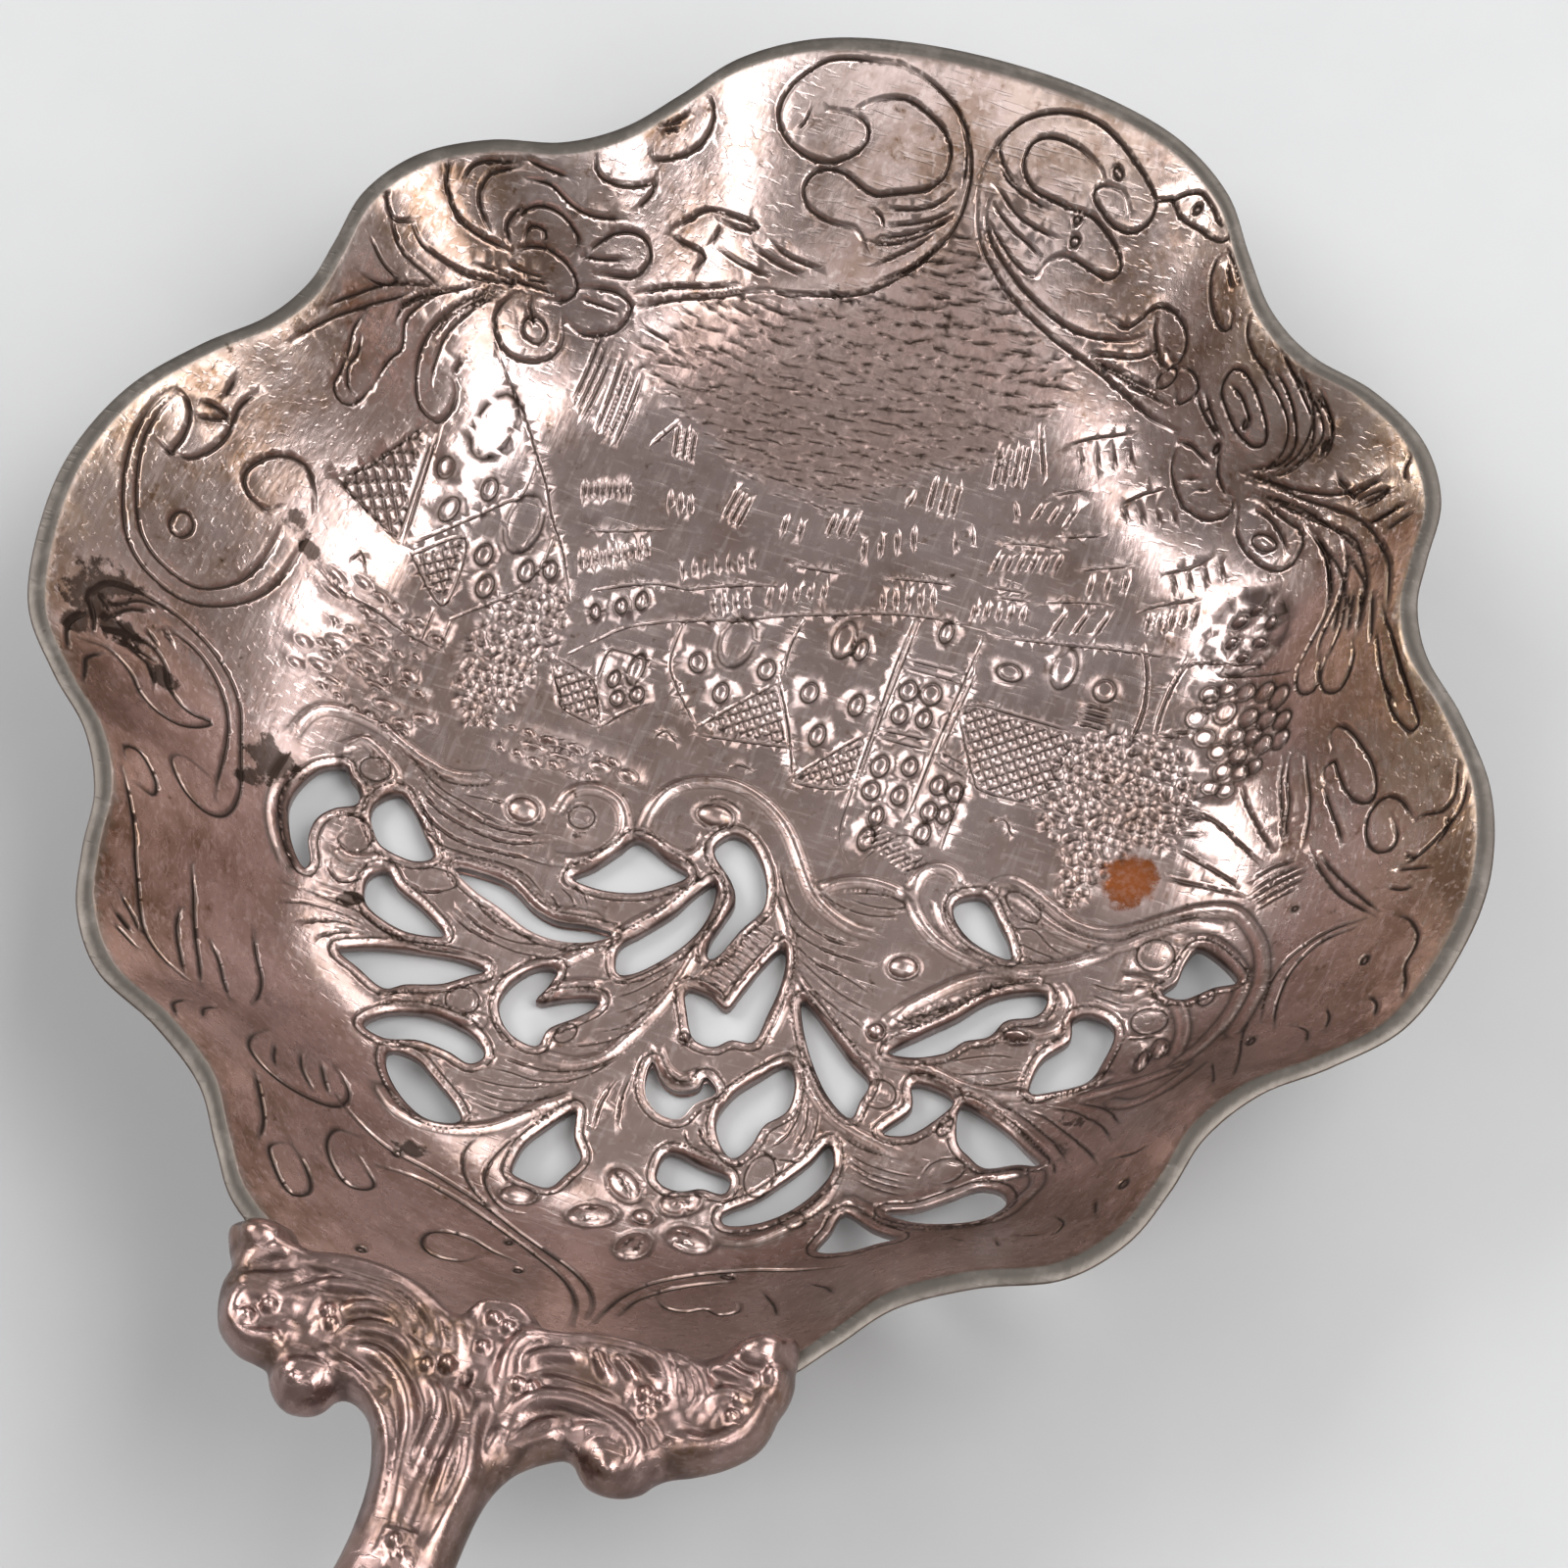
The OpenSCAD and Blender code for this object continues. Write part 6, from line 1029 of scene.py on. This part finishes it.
# half width, rise, points; a minus rise is a groove
castRidges = [
    (0.62, 0.75, [-13.1, -36.2, -12.1, -35.3, -11.1, -34.7, -9.7, -34.3, -8.2, -34, -6.6, -33.9, -5.1, -33.95,
    -3.7, -34.2, -2.5, -34.7, -1.5, -35.4, -0.95, -36.2, -0.7, -37, -0.8, -37.7]),
    (0.42, 0.6, [-10.6, -35.6, -9.4, -34.95, -8, -34.75, -6.6, -34.6, -4.7, -34.7, -3.4, -35.1, -2.4, -35.8,
    -1.8, -36.7]), (0.4, 0.55, [-9, -36.3, -7.9, -35.6, -6.4, -35.3, -5, -35.4, -3.9, -35.8, -3, -36.4]),
    (0.36, 0.5, [-7, -36.9, -6, -36.2, -4.8, -36.1, -3.8, -36.6, -3.2, -37.3]),
    (0.45, 0.5, [-6.6, -38.2, -5.6, -37.3, -4.3, -37, -3.1, -37.4, -2.3, -38.2]),
    (0.45, 0.55, [-12.8, -37, -11.5, -36.6, -10.2, -36.1, -9.2, -35.5]), (0.35, 0.45, [-10.4, -37.1, -9.4, -36.5,
    -8.4, -35.9]), (0.6, 0.6, [-9.5, -37.2, -10.6, -37, -11.8, -37.3, -12.2, -38.3, -11.9, -39.2, -10.9, -39.7,
    -9.8, -39.4, -9.2, -38.7]), (0.5, 0.5, [-8.6, -41.6, -8.5, -40.9, -7.9, -40.3, -7, -40.1, -6.2, -40.4,
    -5.9, -41.1]), (0.5, 0.75, [-6.7, -39.2, -5.6, -39.7, -4.6, -40.2, -3.7, -40.9, -2.8, -41.8, -2.1, -43,
    -1.6, -44.6, -1.3, -46.4]), (0.45, 0.5, [-5.9, -38.4, -4.4, -38.4, -3.1, -39, -2.1, -40, -1.5, -41.2, -1.2, -42.7,
    -0.9, -44.4, -0.6, -46.2]), (0.42, 0.45, [-1.6, -38.7, -0.7, -39.5, -0.3, -40.6, -0.25, -42, -0.3, -43.5]),
    (0.42, 0.5, [-0.3, -38.8, 0.5, -39.3, 1.1, -40.2, 1.3, -41.5, 1.2, -43, 1.15, -44.6]),
    (0.5, 0.6, [1.7, -38.7, 1.5, -39.9, 1.8, -41.3, 2.3, -42.6, 2.4, -44, 2.3, -45.4, 2.2, -47.2]),
    (0.4, 0.35, [2.9, -39.9, 2.9, -41.2, 3, -42.4]), (0.55, -0.55, [0.65, -42.8, 0.6, -44.2, 0.6, -45.6, 0.6, -47.2]),
    (0.4, -0.4, [-0.9, -38, -0.3, -38.1, 0.6, -38]), (0.34, 0.4, [-0.6, -35.2, -0.8, -34.5, -0.3, -33.9, 0.7, -33.55,
    1.7, -33.7, 2.4, -34.4, 2.3, -35.2, 1.6, -35.8, 0.7, -35.9]), (0.55, 0.75, [2.4, -38.6, 2.2, -37.6, 2, -36.5,
    2.2, -35.4, 3.1, -34.6, 4.4, -34.1, 6, -33.75, 7.5, -33.65, 8.7, -33.9, 9.5, -34.5, 9.8, -35.2, 9.8, -35.9]),
    (0.4, 0.5, [2.8, -36.8, 3, -36, 4, -35.4, 5.4, -35.1]), (0.3, 0.5, [5.8, -34.5, 6.3, -35.1, 6.9, -35.7]),
    (0.3, 0.45, [6.8, -34.5, 7.6, -34.9, 8.2, -35.4]), (0.35, 0.35, [3.6, -37, 5, -36.8, 6.6, -36.8, 8, -37]),
    (0.45, 0.55, [8.6, -33.4, 9.9, -33.4, 11, -34, 11.7, -34.8, 12, -35.6]),
    (0.35, 0.45, [9.9, -34, 10.6, -34.6, 11, -35.5]), (0.4, 0.5, [11.4, -33.6, 12.3, -33.4, 13.3, -33.6, 14.2, -33.5]),
    (0.4, 0.45, [11.7, -36.2, 12, -35.2, 12.8, -34.6, 13.6, -34.5, 14.1, -35.1, 13.8, -35.9]),
    (0.75, 0.6, [10.7, -37.2, 11.6, -37.8, 12.8, -37.7, 13.8, -36.9, 14.5, -35.8, 14.8, -34.6, 14.8, -33.5]),
    (0.55, 0.75, [3.3, -39.6, 3.4, -38.7, 4.2, -37.9, 5.6, -37.5, 7.2, -37.6, 8.4, -37.9, 9.4, -38.5, 9.8, -39.2,
    9.6, -40, 8.8, -40.4]), (0.4, 0.45, [9, -37.3, 10, -37.8, 10.6, -38.5, 10.7, -39.2]),
    (0.38, 0.45, [6.2, -38.9, 7.2, -38.5, 8.2, -38.4, 8.8, -38.9, 8.9, -39.6]),
    (0.5, 0.75, [4.1, -41.1, 4.7, -40.3, 5.3, -39.8, 5.9, -39.2]), (0.35, 0.4, [3.6, -41.2, 4, -40.2, 4.6, -39.3,
    5.6, -38.6])]
# x, y, radius, rise
castBeads = [
    (-12.3, -34.1, 1.2, 0.85), (-10.4, -37.7, 0.5, 0.55), (-7.5, -37, 0.42, 0.5), (-7.1, -37.6, 0.42, 0.5),
    (-11.3, -38.6, 0.5, 0.5), (-9.6, -39.4, 0.6, 0.45), (-7.8, -41.1, 0.5, 0.6), (-6.7, -41, 0.45, 0.55),
    (-0.8, -37.8, 0.5, 0.75), (-1.8, -38.1, 0.4, 0.5), (0.5, -34.7, 0.42, 0.55), (1.3, -34.9, 0.4, 0.5),
    (0.5, -36.3, 0.4, 0.45), (-3.1, -35.3, 0.45, 0.45), (0.3, -47.6, 0.42, 0.5), (0.9, -48.1, 0.35, 0.4),
    (-3.8, -40.6, 0.4, 0.5), (2.9, -37.6, 0.4, 0.55), (3.6, -37.5, 0.38, 0.5), (9, -36, 0.45, 0.6),
    (9.8, -36.1, 0.42, 0.55), (9.3, -36.8, 0.42, 0.4), (6.8, -38.8, 0.35, 0.3), (8.6, -40.5, 0.6, 0.5),
    (6.7, -39.8, 0.35, 0.3), (11, -38.2, 0.4, 0.4), (13.5, -31.6, 1.25, 0.7), (12.8, -31.9, 0.5, 0.55),
    (14.8, -32.9, 0.7, 0.6), (13.5, -34.8, 0.4, 0.5), (13.4, -35.7, 0.4, 0.4), (8.4, -39.6, 1.2, 0.3),
    (-7.3, -41.2, 1.1, 0.3)]


def nearestInPlan(points, line):
    # distances to a long row of segments, a part of the points at a time
    parts = np.array_split(points, max(1, len(points) // 1500))
    return np.concatenate([nearestOnLine(part, line)[0] for part in parts])


def castRelief(points):
    # ridges rise as exp(-q^1.3) and thin out at their ends, beads as (1 - q)^0.6 with q = (gap/radius)^2; the highest
    # wins, grooves are taken away
    height, dark = np.zeros(len(points)), np.zeros(len(points))
    for width, rise, line in castRidges:
        line = smoothLine(np.array(line).reshape(-1, 2), 0.15)
        near = boxed(points, line, 2.6 * width)
        gap, along = nearestOnLine(points[near], line)
        q = (gap / width) ** 2 * 0.9
        high = rise * np.clip(np.minimum(along, 1 - along) * 6, 0.25, 1) ** 0.6 * np.exp(-q ** 1.3)
        height[near] = np.maximum(height[near], high) if rise > 0 else height[near] + high
        hollow = np.exp(-(np.sqrt(q) - 1.5) ** 2 * 4) if rise > 0 else np.exp(-q)
        dark[near] = np.maximum(dark[near], 0.6 * hollow)
    for x, y, radius, rise in castBeads:
        near = boxed(points, np.array([[x, y]]), radius * 1.8)
        q = ((points[near] - (x, y)) ** 2).sum(1) / radius ** 2
        height[near] = np.maximum(height[near], rise * np.clip(1 - q, 0, 1) ** 0.6 + 0.15)
        dark[near] *= 1 - np.exp(-q)
    return height, dark


def handleMesh():
    # top and underside are the middle line plus and minus a thickness, times sqrt(1 - (1 - d)^2), where d grows from 0
    # at the outline to 1 over the rolled edge; the bracket's relief is added on top
    s = handleShape
    outline = evenLoop(handleOutline, s["edge"])
    inward = sideways(outline, True)
    if insideLoop(outline[:1] - inward[:1] * 0.1, outline)[0]:
        inward = -inward
    ring = np.concatenate([outline, outline[:1]])
    fine, wide = gridIn(outline, s["spacing"]), gridIn(outline, s["wideSpacing"])
    rows = [((outline + inward * k)[:: 1 if k < 0.5 else 2], k * 0.85) for k in s["insets"]]
    rows.append((np.concatenate([fine[fine[:, 1] > s["fineTo"]], wide[wide[:, 1] < s["fineTo"]]]), s["clear"]))
    parts = []
    for row, least in rows:
        row = row[insideLoop(row, outline)]
        parts.append(row[nearestInPlan(row, ring) > least])
    inside = thin(np.concatenate(parts), 0.05)
    top, topFaces = fillFlat([outline], inside)
    y = top[:, 1]
    gap = nearestInPlan(top, ring)
    gap[:len(outline)] = 0
    line = smoothLine(s["path"], 0.5)
    inStem = np.clip((-y - s["stemFrom"]) / s["stemOver"], 0, 1)
    inStem = inStem ** 2 * (3 - 2 * inStem)
    atEnd = np.clip((-y - s["endFrom"]) / s["endOver"], 0, 1)
    outside = outline[np.abs(outline[:, 0]) > 1]
    right = outside[outside[:, 0] > 0]
    right = right[right[:, 1] < -s["sidesFrom"]]
    right = right[np.argsort(-right[:, 1])]
    halfWidth = np.interp(-y, -right[:, 1], right[:, 0])
    roll = s["roll"] + (np.where(-y > s["capFrom"], s["capRoll"], halfWidth) - s["roll"]) * inStem
    share = np.clip(gap / roll, 0, 1)
    roundness = np.sqrt(1 - (1 - share) ** 2)
    middle = s["plateMiddle"] + (np.interp(-y, line[:, 0], line[:, 1]) - s["plateMiddle"]) * inStem
    half = s["stemTop"] + (s["endHalf"] - s["stemTop"]) * atEnd
    relief, dark = castRelief(top)
    upper = s["plateTop"] + (half - s["plateTop"]) * inStem
    lower = s["plateLow"] + (half - s["plateLow"]) * inStem
    topZ = middle + (upper + relief) * roundness
    lowZ = middle - lower * roundness
    n, count = len(outline), len(top)
    verts = np.concatenate([np.c_[top, topZ], np.c_[top[n:], lowZ[n:]]])
    other = np.concatenate([np.arange(n), np.arange(n, count) + count - n])
    faces = np.concatenate([topFaces, other[topFaces][:, ::-1]])
    dark = np.concatenate([dark, np.zeros(count - n)])
    wall = np.clip(0.75 - 0.25 * (verts[:, 1] + 50) / -50, 0.3, 0.9)
    blank = dict.fromkeys(("rim", "spot", "hatch", "stain"), np.zeros(len(verts)))
    return verts, faces, {"oxide": dark * 0.7, "wall": wall, **blank}


verts, faces, values = handleMesh()
handle = meshObject("shellHandle", setDown(verts), faces, handleSilver, values)
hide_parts("handle")
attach(handle, "root")
print("handle made:", len(verts), "points,", len(faces), "faces")

# Camera at the photograph's angle, given from the plane of the rim
view = {"azimuth": 19.3, "elevation": 60.5, "distance": 261.8, "target": (3.67, 0.0, 0.0), "width": 83.77}
a, e = math.radians(view["azimuth"]), math.radians(view["elevation"])
backward = np.array([math.sin(a) * math.cos(e), -math.cos(a) * math.cos(e), math.sin(e)])
rightward = np.array([math.cos(a), math.sin(a), 0.0])
target = np.array(view["target"])
place = setDown(target + backward * view["distance"])
upward = np.cross(backward, rightward)
axes = [setDown(target + v) * 1000 - setDown(target) * 1000 for v in (rightward, upward, backward)]


def standing(axes, place):
    # matrix of an object whose own X, Y and Z point along the axes
    matrix = Matrix.Identity(4)
    for row in range(3):
        for k in range(3):
            matrix[row][k] = axes[k][row]
        matrix[row][3] = place[row]
    return matrix


cameraData = bpy.data.cameras.new("studioCamera")
cameraData.angle = 2 * math.atan(view["width"] / 2 / view["distance"])
cameraData.clip_start, cameraData.clip_end = 0.01, 10
camera = bpy.data.objects.new("studioCamera", cameraData)
camera.matrix_world = standing(axes, place)
bpy.context.scene.collection.objects.link(camera)
bpy.context.scene.camera = camera

# Pale table and soft studio light
studio = {
    "tableSize": 3, "palePaper": (0.335, 0.337, 0.341), "dimPaper": (0.312, 0.315, 0.32),
    "airColour": (0.94, 0.92, 0.9, 1), "airStrength": 0.42, "aim": (0, 0.04, 0),
}
bpy.ops.mesh.primitive_plane_add(size=studio["tableSize"])
table = bpy.context.object
table.name = "paleTable"
paleShader = Shader("palePaper")
paleMottle = step(paleShader.noise(14, 5, 0.6) + 0.35 * paleShader.noise(160, 3, 0.6), 0.45, 0.95)
paleColour = paleShader.mix(paleMottle, studio["palePaper"], studio["dimPaper"])
table.data.materials.append(paleShader.finish(Base_Color=paleColour, Roughness=0.7))

world = bpy.data.worlds.new("studio")
bpy.context.scene.world = world
world.use_nodes = True
air = world.node_tree.nodes["Background"].inputs
air["Color"].default_value, air["Strength"].default_value = studio["airColour"], studio["airStrength"]


def softBox(name, place, size, power):
    # a square or oblong lamp that faces the bowl
    data = bpy.data.lights.new(name, "AREA")
    data.shape, data.size, data.size_y, data.energy = "RECTANGLE", size[0], size[1], power
    lamp = bpy.data.objects.new(name, data)
    bpy.context.scene.collection.objects.link(lamp)
    away = np.array(place) - studio["aim"]
    away /= np.linalg.norm(away)
    side = np.cross((0, 0, 1), away)
    side /= np.linalg.norm(side)
    lamp.matrix_world = standing((side, np.cross(away, side), away), place)


softBox("leftBox", (-0.7, 0.17, 0.62), (0.58, 0.58), 8)
softBox("rightBox", (0.48, 0.15, 0.72), (0.55, 0.55), 8.5)
softBox("frontPanel", (-0.2, -0.35, 0.9), (0.85, 0.45), 2)
softBox("lowBox", (0.78, -0.25, 0.58), (0.45, 0.4), 3.5)
softBox("backPanel", (0.2, 0.9, 0.5), (0.9, 0.4), 5)
bpy.context.scene.view_settings.view_transform = "Standard"
print("studio made")
